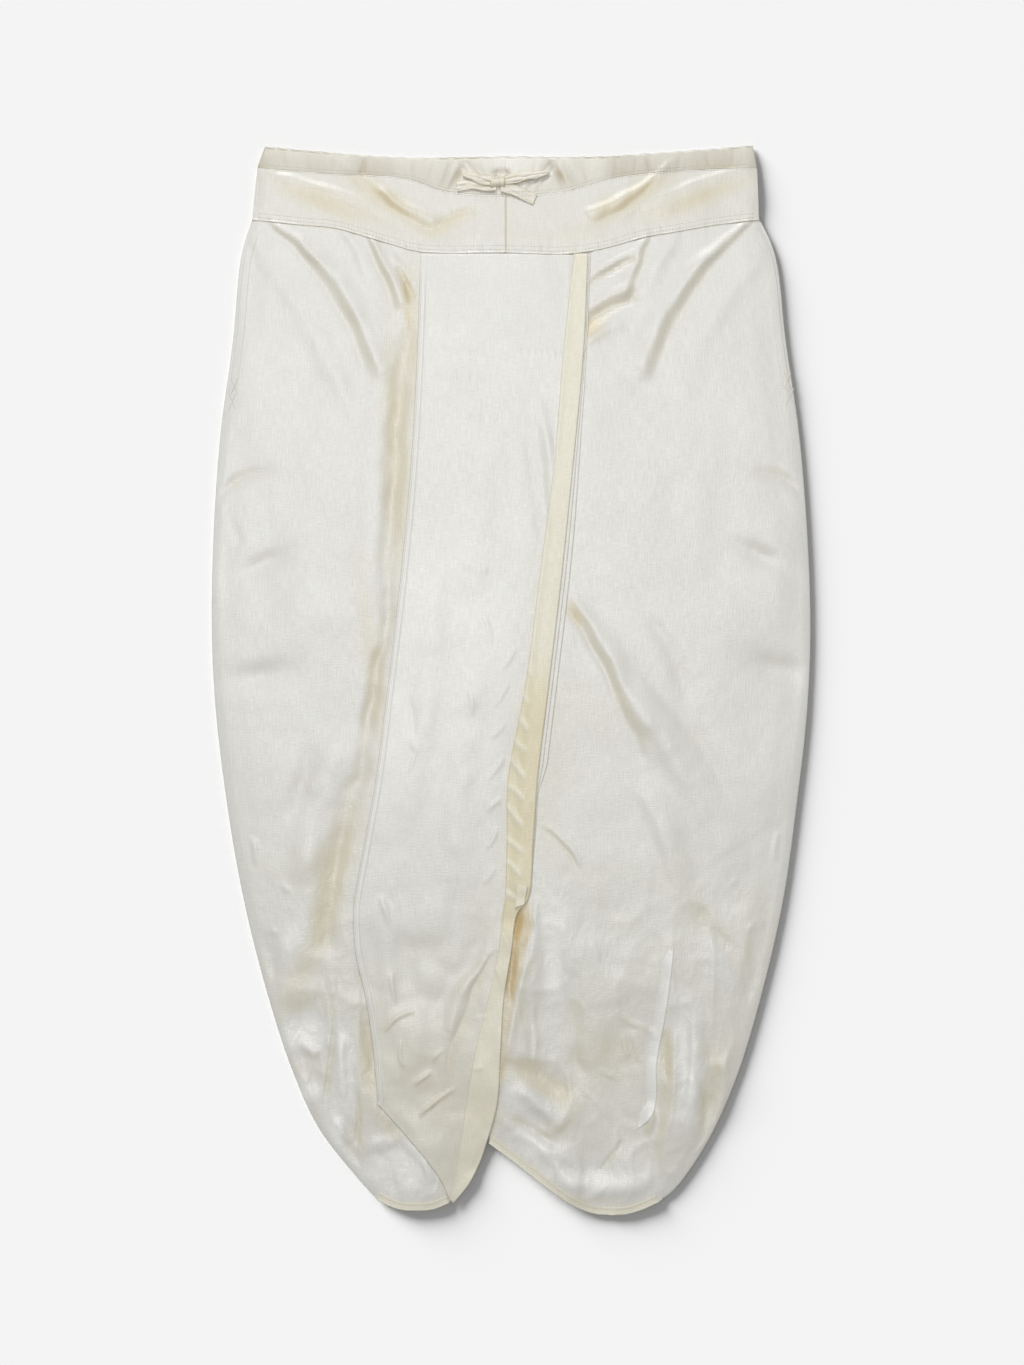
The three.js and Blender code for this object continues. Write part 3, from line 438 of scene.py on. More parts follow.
# Folds of the pleat panel, the same columns
PLEAT_FOLDS = [
    (26, 262, 40, 148, 3, 5, 5, 1), (14, 250, 30, 130, 3, 8, 8, -0.7),
    (-20, 210, -34, 60, -6, 14, 14, 0.8), (-70, 120, -96, -130, 5, 12, 14, 1),
    (-32, 10, -52, -190, -5, 12, 14, 1.1), (-96, -14, -92, -50, 1, 3, 3, -0.5),
    (-93, -58, -88, -66, 0, 1.2, 1.2, 0.5), (-88, -66, -96, -86, 0, 1.2, 1.2, 0.5),
    (-3, -252, -38, -308, -8, 5, 6, -2.2, 0.2), (-38, -308, -58, -368, -3, 6, 5, -2, 0.2),
    (-20, -262, -58, -330, -8, 7, 8, 1.8), (-118, -250, -112, -380, 6, 10, 10, 0.9),
    (-117, -328, -90, -311, 4, 1.5, 1.5, 1.5, 0.3), (-104, -340, -100, -362, -2, 1.8, 1.8, 0.9),
    (-89, -378, -75, -369, 1, 1.4, 1.4, 1.5, 0.3), (-84, -409, -53, -384, 3, 1.7, 1.5, 1.6, 0.2),
    (-74, -357, -64, -348, 1, 1.3, 1.3, 0.8), (-108, -300, -112, -276, 1, 2, 2, 0.7),
    (4, 30, -8, 12, 1, 1.5, 1.5, 0.4, 0.2), (-2, -2, -14, -22, 1, 1.5, 1.5, 0.5, 0.2),
    (-6, -40, -18, -52, 1, 1.5, 1.8, 0.5), (-8, -74, -22, -92, 1, 2, 2, 0.6, 0.2),
    (-10, -112, -20, -122, 0, 1.6, 1.6, 0.5), (-12, -140, -24, -158, 1, 2, 2, 0.6),
    (-14, -176, -26, -190, 1, 1.8, 1.8, 0.5), (-26, 60, -20, 34, 1, 1.6, 1.6, 0.5),
    (-40, -8, -36, -34, 1, 2, 2, 0.5), (-52, -356, -60, -398, 0, 6, 5, -0.6),
    (-120, -205, -116, -226, 0, 3, 2.4, 0.8), (-112, -190, -106, -214, 0, 2, 2, 0.5),
    (-38, -318, -22, -316, 1, 1.2, 1.2, 0.4), (-36, -364, -25, -363, 0.5, 1.2, 1.2, 0.4),
]
# Broad dips and swells: x, y, half length, half width, turn in degrees, lift
FRONT_SWELLS = [
    (-229, 111, 24, 9, 25, -2.2), (234, 117, 24, 9, -25, -2.2), (-236, 4, 30, 13, 10, -2.6),
    (249, 10, 30, 13, -12, -2.6), (-191, -168, 16, 11, 60, 1.2), (209, -189, 4, 2, 40, 0.8),
    (224, -232, 4, 2, 50, 0.8), (-211, -195, 4, 2, -40, 0.8), (-222, -236, 4, 2, -50, 0.8),
    (-176, 208, 34, 22, 20, 0.8), (176, 208, 34, 22, -20, 0.8), (88, -366, 38, 33, 0, -1.6),
    (-98, -352, 38, 40, 0, -1.2), (130, -410, 7, 6, 0, 1.2), (-128, -350, 6, 22, 5, -1.2),
    (-196, 60, 40, 24, 15, 1), (200, 62, 40, 24, -15, 1), (-210, -90, 40, 20, 60, 1.2),
    (216, -80, 44, 20, -60, 1), (150, -130, 30, 16, -60, 0.8),
]

# %% Fold heights
FOLD_END_SHARE = 0.3
LATTICE = (97, 89)


def drift(x, y, size, seed, stretch=1.0):
    """Smooth noise from -1 to 1 with features of a size in millimetres, longer in y when stretched."""
    lattice = np.random.default_rng(seed).uniform(-1, 1, LATTICE)
    gx, gy = x / size + 400, y / (size * stretch) + 400
    ix, iy = np.floor(gx).astype(int), np.floor(gy).astype(int)
    fx, fy = gx - ix, gy - iy
    fx, fy = fx * fx * (3 - 2 * fx), fy * fy * (3 - 2 * fy)
    pick = lambda a, b: lattice[(ix + a) % LATTICE[0], (iy + b) % LATTICE[1]]
    low = pick(0, 0) * (1 - fx) + pick(1, 0) * fx
    high = pick(0, 1) * (1 - fx) + pick(1, 1) * fx
    return low * (1 - fy) + high * fy


def fold_field(folds, x, y):
    """Height and trough depth that a table of folds gives each place."""
    height, trough = np.zeros_like(x), np.zeros_like(x)
    uneven = 1 + 0.35 * drift(x, y, 19, 51)
    x, y = x + 1.6 * drift(x, y, 17, 52), y + 1.6 * drift(x, y, 17, 53)
    for x0, y0, x1, y1, bend, width0, width1, lift, *skew in folds:
        dx, dy = x1 - x0, y1 - y0
        length = math.hypot(dx, dy)
        t = ((x - x0) * dx + (y - y0) * dy) / length ** 2
        inside = np.clip(t, 0, 1)
        across = ((x - x0) * -dy + (y - y0) * dx) / length - bend * 4 * inside * (1 - inside)
        width = (width0 + (width1 - width0) * inside) * (1 + sum(skew) * np.sign(across))
        beyond = (t - inside) * length
        section = np.exp(-(across / width) ** 2 - (beyond / (0.5 * (width0 + width1))) ** 2)
        swell = FOLD_END_SHARE + (1 - FOLD_END_SHARE) * np.sqrt(4 * inside * (1 - inside))
        height += lift * swell * section * uneven
        trough += max(-lift, 0) * swell * section
    return height, trough


def swell_field(swells, x, y):
    """Height that a table of broad dips and swells gives each place."""
    height = np.zeros_like(x)
    for cx, cy, half_length, half_width, turn, lift in swells:
        c, s = math.cos(math.radians(turn)), math.sin(math.radians(turn))
        a = ((x - cx) * c + (y - cy) * s) / half_length
        b = ((y - cy) * c - (x - cx) * s) / half_width
        height += lift * np.exp(-a ** 2 - b ** 2)
    return height


def rise(value, start, end):
    """Goes smoothly from 0 at start to 1 at end."""
    t = np.clip((value - start) / (end - start), 0, 1)
    return t * t * (3 - 2 * t)


print("folds:", len(FRONT_FOLDS), "front,", len(PLEAT_FOLDS), "pleat panel;", len(FRONT_SWELLS), "swells")

# %% [markdown]
# ## How the garment lies
# The back lies flat on the surface and its edges curl up a little. The front rests on it with a few
# millimetres of air, bulges over its folds and rolls down to meet the back at the sides. One function
# gives the height of the front at any place. The lower legs are crumpled, the hips are smooth, and cloth
# puckers beside its stitches.

# %% Heights of back and front
CLOTH = 0.6
THIN_CLOTH = 0.35
BACK_WALL, FRONT_WALL = 1.8, 1.6
SIDE_CURL, CURL_WIDTH = 2.4, 26
ROUND_WIDTH = 9
LEG_PUFF, WAIST_PUFF, PUFF_WIDTH = 3.3, 1.2, 32
WAIST_FADE = 70
HEM_FADE, HEM_SHARE = 75, 0.45
CRUMPLE_TOP, CRUMPLE_LOW = -120, -330
PUCKER_REACH = 8
SOFTNESS = 0.5


def line_distance(lines, x, y):
    """Distance from each place to the nearest of some lines."""
    nearest = np.full(x.shape, 1e9)
    for line in lines:
        points = line[::6]
        for (ax, ay), (bx, by) in zip(points, points[1:]):
            dx, dy = bx - ax, by - ay
            t = np.clip(((x - ax) * dx + (y - ay) * dy) / (dx * dx + dy * dy), 0, 1)
            nearest = np.minimum(nearest, np.hypot(x - ax - t * dx, y - ay - t * dy))
    return nearest


def seam_y(seam, x):
    return np.interp(x, *np.array(seam).T)


def back_curl(side):
    return SIDE_CURL * np.clip(1 - side / CURL_WIDTH, 0, 1) ** 2


def crumple(x, y, side):
    """Small uneven creases, strong in the lower legs and faint above."""
    low = rise(-y, -CRUMPLE_TOP, -CRUMPLE_LOW)
    soft = 0.75 * drift(x, y, 62, 3, 1.5) + 0.34 * drift(x, y, 25, 4, 1.4) + 0.09 * drift(x, y, 10, 5)
    flats = 1.45 * np.tanh(3 * drift(x, y, 40, 6, 1.7)) + 0.62 * np.tanh(3 * drift(x, y, 19, 7, 1.5))
    sharp = 1.15 * (1 - np.abs(drift(x, y, 34, 10, 1.9))) ** 4
    sharp += 0.45 * (1 - np.abs(drift(x, y, 15, 12, 1.5))) ** 4
    return soft * (1 + 0.3 * low) * rise(side, 0, 16) + (flats + sharp) * low * rise(side, 2, 14)


def pucker(x, y, seam, seed, strength=0.3):
    """Short ripples square to a seam that runs across."""
    away = np.abs(y - seam_y(seam, x))
    ripple = drift(x, y * 0.2, 4.2, seed) + 0.6 * drift(x, y * 0.2, 9, seed + 1)
    return strength * ripple * np.exp(-(away / PUCKER_REACH) ** 1.5)


def front_height(x, y):
    """Top of the front cloth and its trough depth."""
    side = line_distance(side_edges, x, y)
    folds, trough = fold_field(FRONT_FOLDS, x, y)
    waist = np.clip((seam_y(WAIST_EDGE, x) - y) / WAIST_FADE, 0, 1)
    hem = np.clip(line_distance(hem_edges, x, y) / HEM_FADE, 0, 1)
    level = WAIST_PUFF + (LEG_PUFF - WAIST_PUFF) * waist
    puff = level * (1 - np.clip(1 - side / PUFF_WIDTH, 0, 1) ** 2) * (HEM_SHARE + (1 - HEM_SHARE) * hem)
    air = puff + folds + swell_field(FRONT_SWELLS, x, y) + crumple(x, y, side) + pucker(x, y, YOKE_SEAM, 11)
    air = 0.5 * (air + np.sqrt(air ** 2 + SOFTNESS ** 2))
    inside = BACK_WALL + SEAM_GAP + air + FRONT_WALL
    edge = 2 * CLOTH + 0.1
    roll = np.sqrt(1 - (1 - np.clip(side / ROUND_WIDTH, 0, 1)) ** 2)
    return back_curl(side) + edge + (inside - edge) * roll, trough


print("hip, mm high:", round(float(front_height(np.array([[150.0]]), np.array([[100.0]]))[0][0, 0]), 1))

# %% [markdown]
# ## A height map of what is already laid
# Every piece rests on the ones beneath it. Each finished piece is pressed into a map that keeps the
# highest cloth at every millimetre. To lay the next piece, the map is widened and smoothed by a few
# millimetres, which is what a light cloth does when it bridges an edge. Because widening comes before
# smoothing, no piece cuts into the old.

# %% The pile
PILE_X, PILE_Y = 305, 525
PRESS_STEP = 0.6
pile = np.zeros((2 * PILE_Y + 1, 2 * PILE_X + 1))


def finer(values, times):
    """A grid with `times` steps for each of its own, along its first axis."""
    index = np.arange(values.shape[0])
    fine = np.linspace(0, index[-1], index[-1] * times + 1)
    low = np.minimum(fine.astype(int), max(index[-1] - 1, 0))
    share = (fine - low)[:, None]
    return values[low] * (1 - share) + values[np.minimum(low + 1, index[-1])] * share


def press(x, y, z):
    """Adds a piece's top to the pile."""
    apart = [np.hypot(np.diff(x, axis=k), np.diff(y, axis=k)).max() for k in (0, 1)]
    down, across = (math.ceil(gap / PRESS_STEP) for gap in apart)
    fx, fy, fz = (finer(finer(a, down).T, across).T for a in (x, y, z))
    column = np.clip(np.rint(fx + PILE_X).astype(int), 0, 2 * PILE_X)
    row = np.clip(np.rint(fy + PILE_Y).astype(int), 0, 2 * PILE_Y)
    np.maximum.at(pile, (row.ravel(), column.ravel()), fz.ravel())


def resting(reach):
    """The pile widened, then smoothed, by a reach in millimetres, ready to be lain on."""
    made = pile
    for mix in (np.max, np.mean):
        for axis in (0, 1):
            made = mix([np.roll(made, k, axis) for k in range(-reach, reach + 1)], axis=0)
    return made


def height_on(surface, x, y):
    """Value of a map at any places, between its millimetres."""
    gx = np.clip(x + PILE_X, 0, 2 * PILE_X - 1.001)
    gy = np.clip(y + PILE_Y, 0, 2 * PILE_Y - 1.001)
    ix, iy = gx.astype(int), gy.astype(int)
    fx, fy = gx - ix, gy - iy
    low = surface[iy, ix] * (1 - fx) + surface[iy, ix + 1] * fx
    high = surface[iy + 1, ix] * (1 - fx) + surface[iy + 1, ix + 1] * fx
    return low * (1 - fy) + high * fy


print("pile map:", pile.shape)

# %% [markdown]
# ## From places to cloth
# A flat grid is the simplest start for a cloth: an operator makes it, and every point is then moved to its
# place on the panel and its height on the pile. The grain runs along the places' x and y, turned by an angle
# where a piece is cut askew. A Solidify modifier turns the sheet into a thin closed shell, so its edges show
# a thickness, as a hem or a folded edge does.

# %% Cloth pieces from grids
made_pieces = []


def grid_mesh(name, x, y, z, faces_down):
    """A create_grid mesh with its points moved to the given places."""
    rows, columns = x.shape
    bm = bmesh.new()
    bmesh.ops.create_grid(bm, x_segments=columns - 1, y_segments=rows - 1, size=0.5)
    mesh = finished_mesh(name, bm)
    spots = np.empty(len(mesh.vertices) * 3)
    mesh.vertices.foreach_get("co", spots)
    spots = spots.reshape(-1, 3)
    column = np.rint((spots[:, 0] + 0.5) * (columns - 1)).astype(int)
    row = np.rint((0.5 - spots[:, 1]) * (rows - 1)).astype(int)
    moved = np.stack([a[row, column] for a in (x, y, z)], 1) * MM
    mesh.vertices.foreach_set("co", moved.ravel())
    mesh.update()
    upward = sum(mesh.polygons[k].normal.z for k in range(0, len(mesh.polygons), 7)) > 0
    if upward == faces_down:
        mesh.flip_normals()
    return mesh, row, column


def add_piece(name, mesh, material, stands_for=()):
    """An object at the origin that rides on the one body and takes the place of its solids."""
    mesh.materials.append(material)
    mesh.polygons.foreach_set("use_smooth", np.ones(len(mesh.polygons), bool))
    piece = add_object(name, mesh)
    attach(piece, "root")
    if stands_for:
        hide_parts(*stands_for)
    made_pieces.append(piece)
    return piece


def lay_cloth(solid, places, z, painted_light, material, turn=0.0, wall=CLOTH,
              faces_down=False, crease=0.15):
    """The cloth over one solid: places and heights in mm, painted light and turned grain."""
    name = f"cloth_{solid}"
    x, y = places[..., 0], places[..., 1]
    mesh, row, column = grid_mesh(name, x, y, z, faces_down)
    for label, amount, least in (("painted_light", painted_light, STRONGEST_PAINTED_HIGHLIGHT), ("crease", crease, 0)):
        values = np.clip(amount + 0 * x, least, 1)[row, column].astype(np.float32)
        mesh.attributes.new(label, "FLOAT", "POINT").data.foreach_set("value", values)
    c, s = math.cos(math.radians(turn)), math.sin(math.radians(turn))
    grain = np.stack([(x * c + y * s)[row, column], (y * c - x * s)[row, column]], 1) * MM
    corner = np.empty(len(mesh.loops), int)
    mesh.loops.foreach_get("vertex_index", corner)
    mesh.uv_layers.new(name="grain").data.foreach_set("uv", grain[corner].astype(np.float32).ravel())
    piece = add_piece(name, mesh, material, [solid])
    shell = piece.modifiers.new("thickness", "SOLIDIFY")
    shell.thickness = wall * MM
    shell.offset = -1
    if not faces_down:
        press(x, y, z)
    spots = np.stack([x, y, z + 0 * x], -1) * MM
    sides = spots[1:, 1:] - spots[:-1, :-1], spots[1:, :-1] - spots[:-1, 1:]
    made_area = 0.5 * np.linalg.norm(np.cross(*sides), axis=-1).sum()
    size = f"{x.shape[0]} x {x.shape[1]} points, {made_area:.5f} m2"
    print(f"{name}: {size}, {z.min():.1f} to {z.max():.1f} mm high")


# %% [markdown]
# ## Back of the garment
# The back is two legs joined at a centre seam, a yoke and a casing with elastic in it. It lies underneath,
# flat, and shows when the part is turned over. The weight above presses its folds nearly flat, so they are
# shallow troughs that lift off the surface: soft lines that spread from the yoke seam and long ones down
# each leg.

# %% Back legs
# x0, y0, x1, y1, bend, width0, width1, lift, skew
BACK_FOLDS = [
    (-206, 424, -120, 300, 10, 3, 7, 0.8, 0.2), (-150, 414, -108, 330, 5, 3, 6, 0.7),
    (-92, 400, -70, 310, 3, 3, 7, 0.6), (-40, 398, -34, 300, 1, 3, 6, 0.5),
    (208, 424, 118, 292, -11, 3, 7, 0.8, -0.2), (146, 416, 112, 322, -4, 3, 6, 0.6),
    (88, 402, 66, 318, -3, 3, 7, 0.7), (34, 398, 30, 306, 0, 3, 6, 0.5),
    (-110, 240, -134, -60, -8, 8, 12, 0.9), (96, 250, 132, -80, 9, 8, 12, 0.9),
    (-190, 120, -206, -110, -5, 9, 10, 0.7), (196, 90, 208, -120, 6, 9, 10, 0.7),
    (-60, 60, -84, -200, -6, 7, 10, 0.8), (52, 40, 76, -220, 6, 7, 10, 0.8),
    (-150, -190, -128, -400, 6, 5, 8, 1, 0.2), (158, -200, 132, -410, -6, 5, 8, 1, -0.2),
    (-96, -260, -82, -440, 3, 4, 7, 0.9), (92, -270, 74, -450, -4, 4, 7, 0.9),
    (-180, -280, -160, -380, 4, 4, 6, 0.8), (40, -290, 34, -420, -3, 4, 6, 0.7),
    (-210, 462, -120, 430, 3, 5, 7, 0.5), (206, 464, 118, 432, -3, 5, 7, 0.5),
]
# Golden painted shade where the back shows in the gap below the panel's corner: x, y, half length, half
# width, turn, amount
BACK_GAP_SHADE = [(8, -262, 60, 22, 90, 1.0)]


def back_low(x, y):
    """Underside of the back cloth, lifted off the surface in its troughs, and its trough depth."""
    side = line_distance(side_edges, x, y)
    lift, _ = fold_field(BACK_FOLDS, x, y)
    ripple = np.clip(pucker(x, y, YOKE_SEAM, 21, 0.35) + pucker(x, y, CASING_SEAM, 23, 0.35), 0, 0.6)
    soft = np.clip(0.22 * drift(x, y, 40, 8, 1.5) + 0.10 * drift(x, y, 17, 9), 0, 0.4)
    return back_curl(side) + lift + ripple + soft, lift


def leg_edges(sign, inner):
    top = half_seam(YOKE_SEAM, sign) - (0, SEAM_GAP / 2)
    outer = smooth_line([tuple(top[0])] + side_line(sign)[1:])
    inner = smooth_line([tuple(top[-1])] + inner[sign][1:])
    hem = smooth_line(HEMS[sign][:-1] + [tuple(inner[-1])])
    return top, hem, outer, inner


for sign, word in SIDES:
    across, down = steps(262, 3.4, first=1.2), steps(930, 4.6, first=1.6, last=2)
    places = panel(*leg_edges(sign, BACK_INNER), across, down)
    x, y = places[..., 0], places[..., 1]
    low, lift = back_low(x, y)
    # Painted shade: darker in the fold troughs and golden in the gap
    painted_light = 0.10 + 0.35 * lift + 0.9 * swell_field(BACK_GAP_SHADE, x, y)
    lay_cloth(f"back_leg_{word}", places, low, painted_light, ivory,
              faces_down=True)

# %% Back yoke
CENTRE_LAP = 1.4


def band(upper, lower, sign, across, down, lap=0.0):
    """Places between two seams that run from the side edge to the centre seam, lapping over the lower one."""
    top = half_seam(upper, sign) - (0, SEAM_GAP / 2)
    bottom = half_seam(lower, sign) + (0, SEAM_GAP / 2 - lap)
    if lap and sign < 0:
        share = np.linspace(0, 1, LINE_POINTS)[:, None] ** 8
        top, bottom = top + share * (CENTRE_LAP, 0), bottom + share * (CENTRE_LAP, 0)
    return panel(top, bottom, straight(top[0], bottom[0]), straight(top[-1], bottom[-1]), across, down)


halves = [band(CASING_SEAM, YOKE_SEAM, sign, steps(240, 2.6, first=1.2), steps(50, 2.2)) for sign in (-1, 1)]
places = np.concatenate([halves[0][:, :-1], halves[1][:, ::-1]], axis=1)
low, lift = back_low(places[..., 0], places[..., 1])
# Painted shade, darker in the fold troughs
lay_cloth("back_yoke", places, low, 0.08 + 0.3 * lift, ivory,
          faces_down=True)

# %% [markdown]
# ## Elastic back casing
# The back of the waist is gathered on elastic. The cloth stands in about 30 uneven ruffles, and their
# crests show as a thin wavy line above the front edge. A wave whose height and spacing drift from ruffle
# to ruffle does this.

# %% Back casing
RUFFLES = 30
WAIST_WIDTH = 458
RUFFLE_HEIGHT = 1.4
CASING_RISE, CASING_GAP = 2.3, 0.9


def raised_line(seam, by, x0=-1e9, x1=1e9):
    """A row of places a set distance above a seam, between two x values."""
    line = smooth_line(seam)
    return line[(line[:, 0] > x0) & (line[:, 0] < x1)] + (0, by)


top, bottom = raised_line(WAIST_EDGE, CASING_RISE), raised_line(CASING_SEAM, CASING_GAP)
ends = [straight(top[k], bottom[k]) for k in (0, -1)]
places = panel(top, bottom, *ends, steps(WAIST_WIDTH, 1.5), steps(17, 1.5))
x, y = places[..., 0].copy(), places[..., 1].copy()
phase = x / WAIST_WIDTH * RUFFLES * 2 * math.pi + 2.4 * drift(x, 0 * x, 26, 31)
wave = 0.5 * (1 - np.cos(phase)) * (0.7 + 0.3 * drift(x, 0 * x, 18, 32))
open_share = rise(y - seam_y(CASING_SEAM, x), 0, 9)
places[..., 1] += 0.8 * (wave - 0.4) * rise(y - seam_y(WAIST_EDGE, x), -6, 1)
low = back_curl(line_distance(side_edges, x, y)) + RUFFLE_HEIGHT * wave * open_share
# Painted shade in the hollows between the ruffles, in some stretches of the waist only
ruffle_hollow_shade = 0.1 + 0.55 * (1 - wave) * open_share * rise(drift(x, 0 * x, 46, 33), -0.3, 0.4)
lay_cloth("back_casing", places, low, ruffle_hollow_shade, casing, wall=0.9,
          faces_down=True)
press(x, y, low + 0.9)

# %% [markdown]
# ## Painted shade and highlight on the front legs
# Some places get a golden painted shade, as if the light there had gone through several layers, and some that
# lie flat to the light get a white painted highlight. Both are read off the photo's look and placed one by
# one. Slopes that turn from the light get a little painted shade too.

# %% Tone tables and functions
# Darkening towards the hems, painted shade of slopes turned from the light, and the most painted shade
# allowed
LOW_LEG_DARKENING, SLOPE_SHADE, DEEPEST_PAINTED_SHADE = 0.12, 0.26, 0.46
# Places given a golden painted shade where layers double: x, y, half length, half width, turn, amount
PAINTED_SHADE_PATCHES = [
    (-9, -360, 16, 6, 85, 0.3), (28, -378, 34, 11, -28, 0.26), (-137, -362, 30, 9, 92, 0.36),
    (-114, -418, 22, 7, -50, 0.34), (146, -345, 22, 5, 95, 0.3), (186, -232, 34, 14, -55, 0.22),
    (-165, -190, 80, 10, 70, 0.36), (74, -20, 60, 14, -62, 0.12), (46, -60, 60, 22, 105, 0.16),
    (56, 66, 10, 5, -60, 0.2), (-92, 325, 66, 7, 91, 0.42), (76, 330, 14, 10, 30, 0.5),
    (62, 60, 18, 6, -60, 0.34), (-104, 190, 150, 12, 94, 0.4), (-124, -10, 110, 10, 99, 0.32),
    (30, -110, 90, 14, 100, 0.16), (90, -350, 34, 30, 0, 0.12), (-60, -300, 50, 24, 60, 0.1),
    (-150, -440, 24, 10, -60, 0.12), (190, -380, 50, 10, 75, 0.16), (-205, -300, 60, 14, 75, 0.12),
]
# Small places given a golden painted shade through several layers, the same columns
GOLDEN_SHADE_SPOTS = [
    (-99, 362, 18, 4, 95, 0.35), (-97, 340, 8, 3, 92, 0.3), (74, 330, 10, 6, 30, 0.25),
    (60, 62, 12, 4, -60, 0.2), (-9, -372, 8, 4, 85, 0.2), (-14, -392, 44, 3.5, 81, 0.25),
]
# Places that lie flat to the light and get a white painted highlight, the same columns
PAINTED_HIGHLIGHT_PATCHES = [
    (-194, -332, 24, 15, 10, -0.5), (-192, -386, 12, 10, 0, -0.4), (-158, -364, 32, 12, 95, -0.5),
    (-163, -422, 18, 8, 100, -0.5), (-104, -456, 44, 24, 8, -0.5), (12, -394, 28, 10, -28, -0.5),
    (22, -436, 28, 9, -25, -0.45), (168, -371, 56, 12, 96, -0.45), (80, -470, 54, 13, -3, -0.5),
    (40, -262, 52, 15, 88, -0.4), (190, -250, 30, 12, 100, -0.3), (-205, -240, 26, 12, 70, -0.3),
]
# Right edge of the golden shade below the facing's corner, from the top down
GAP_EDGE = [(16.9, -208), (19.7, -234.5), (14.1, -253), (7.5, -281), (1.9, -300), (-8.5, -352)]


def gap_shade(x, y):
    """How much golden shade from beneath the panel's edge reaches a place on the right leg."""
    reach, level = np.array(GAP_EDGE).T
    soft = 0.8 + 2.6 * rise(-y, 234, 270)
    inside = rise(np.interp(-y, -level, reach) - x, -soft, soft) * rise(x, -42, -34)
    return inside * rise(-y, 198, 208) * (1 - rise(-y, 325, 356)) * (0.62 - 0.20 * rise(-y, 230, 290))


def shaded_slope(places, high):
    """How steeply a laid cloth turns away from the light at its top, from its own grid."""
    slopes = []
    for axis in (0, 1):
        step = np.gradient(places, axis=axis)
        slopes.append(np.gradient(high, axis=axis) / np.hypot(step[..., 0], step[..., 1]))
    return np.hypot(np.minimum(slopes[0], 0), 0.7 * slopes[1])


def slope_shade(places, high):
    """Painted shade on the slopes that turn from the light, without the roll at the sides."""
    inward = line_distance(side_edges, places[..., 0], places[..., 1])
    return SLOPE_SHADE * rise(shaded_slope(places, high), 0.05, 0.30) * rise(inward, 8, 22)


def front_painted_light(x, y, trough):
    """Painted light of the cloth: darker a little below the knee, painted shade in troughs and where layers
    double, painted highlight where it lies flat to the light.
    """
    patches = swell_field(PAINTED_SHADE_PATCHES + PAINTED_HIGHLIGHT_PATCHES, x, y)
    return LOW_LEG_DARKENING * rise(-y, 60, 330) + 0.10 * np.clip(trough, 0, 2.4) + patches


print("warm, golden and white places:", len(PAINTED_SHADE_PATCHES), len(GOLDEN_SHADE_SPOTS), len(PAINTED_HIGHLIGHT_PATCHES))

# %% [markdown]
# ## Front legs
# Each front leg is one wide panel from the yoke to the leg opening. Its looks come from its folds: deep
# ones that spread from the end of the yoke seam like rays, a long trough beside the pleat panel on the
# left and long diagonals on the right, then a crumpled, glossy lower leg. Grid points stand closer
# together at the side, where the cloth rolls under, and along the seam, where it puckers.

# %% Front legs
TUCK_DEPTH, TUCK_REACH = 0.2, 1.9


def tucked(seam, x, y):
    """How far a cloth dips where it goes into the seam above it."""
    below = np.clip(seam_y(seam, x) - y, 0, None)
    return TUCK_DEPTH * np.exp(-(below / TUCK_REACH) ** 2)


for sign, word in SIDES:
    across, down = steps(266, 2.3, first=0.9, last=2.0), steps(930, 3.0, first=0.8, last=1.4)
    places = panel(*leg_edges(sign, FRONT_INNER), across, down)
    x, y = places[..., 0], places[..., 1]
    high, trough = front_height(x, y)
    high -= tucked(YOKE_SEAM, x, y)
    # Painted shade: a golden line just below the yoke seam, golden spots and the golden shade of the gap
    seam_shade = 0.5 * np.exp(-(np.clip(seam_y(YOKE_SEAM, x) - y, 0, None) / 1.6) ** 2)
    ordinary = front_painted_light(x, y, trough) + slope_shade(places, high)
    golden_shade = swell_field(GOLDEN_SHADE_SPOTS, x, y) + gap_shade(x, y)
    painted_light = np.clip(ordinary, STRONGEST_PAINTED_HIGHLIGHT, DEEPEST_PAINTED_SHADE) + seam_shade + golden_shade
    crease = 0.14 + 0.26 * rise(-y, 100, 330) + 0.10 * np.clip(trough, 0, 2)
    crease = crease - 0.9 * swell_field(PAINTED_HIGHLIGHT_PATCHES, x, y)
    lay_cloth(f"front_leg_{word}", places, high, painted_light, ivory,
              crease=crease)

# %% [markdown]
# ## Turned hems and pocket edges
# The leg openings are turned once and stitched, in a creamier shade. Each side seam holds a pocket. Its
# opening is a turned edge, stitched flat, that runs down the hip just inside the side, and a bartack
# closes its lower end. Both are narrow strips that follow a line and rest on the leg.

# %% Strips on the pile
HEM_DEPTH = 7
EDGE_BEAD = 0.35
# Steps along each hem, its length in metres and its area
HEM_CUTS = {-1: (62, 0.072, 0.0005), 1: (128, 0.180, 0.0013)}
POCKET_TOP, POCKET_LOW = 429, 266
POCKET_INSET, POCKET_WIDTH = 3.0, 7.0


def heading(line, share):
    """Direction of a line at shares of its length."""
    return along(line, np.clip(share + 0.002, 0, 1)) - along(line, np.clip(share - 0.002, 0, 1))


def strip(line, offsets, count, start=0.0, end=1.0):
    """Places along a line, one column for each distance to its left."""
    share = np.linspace(start, end, count)
    ahead = heading(line, share)
    ahead /= np.linalg.norm(ahead, axis=1)[:, None]
    normal = np.stack([-ahead[:, 1], ahead[:, 0]], 1)
    return along(line, share)[:, None] + normal[:, None] * np.array(offsets)[None, :, None]


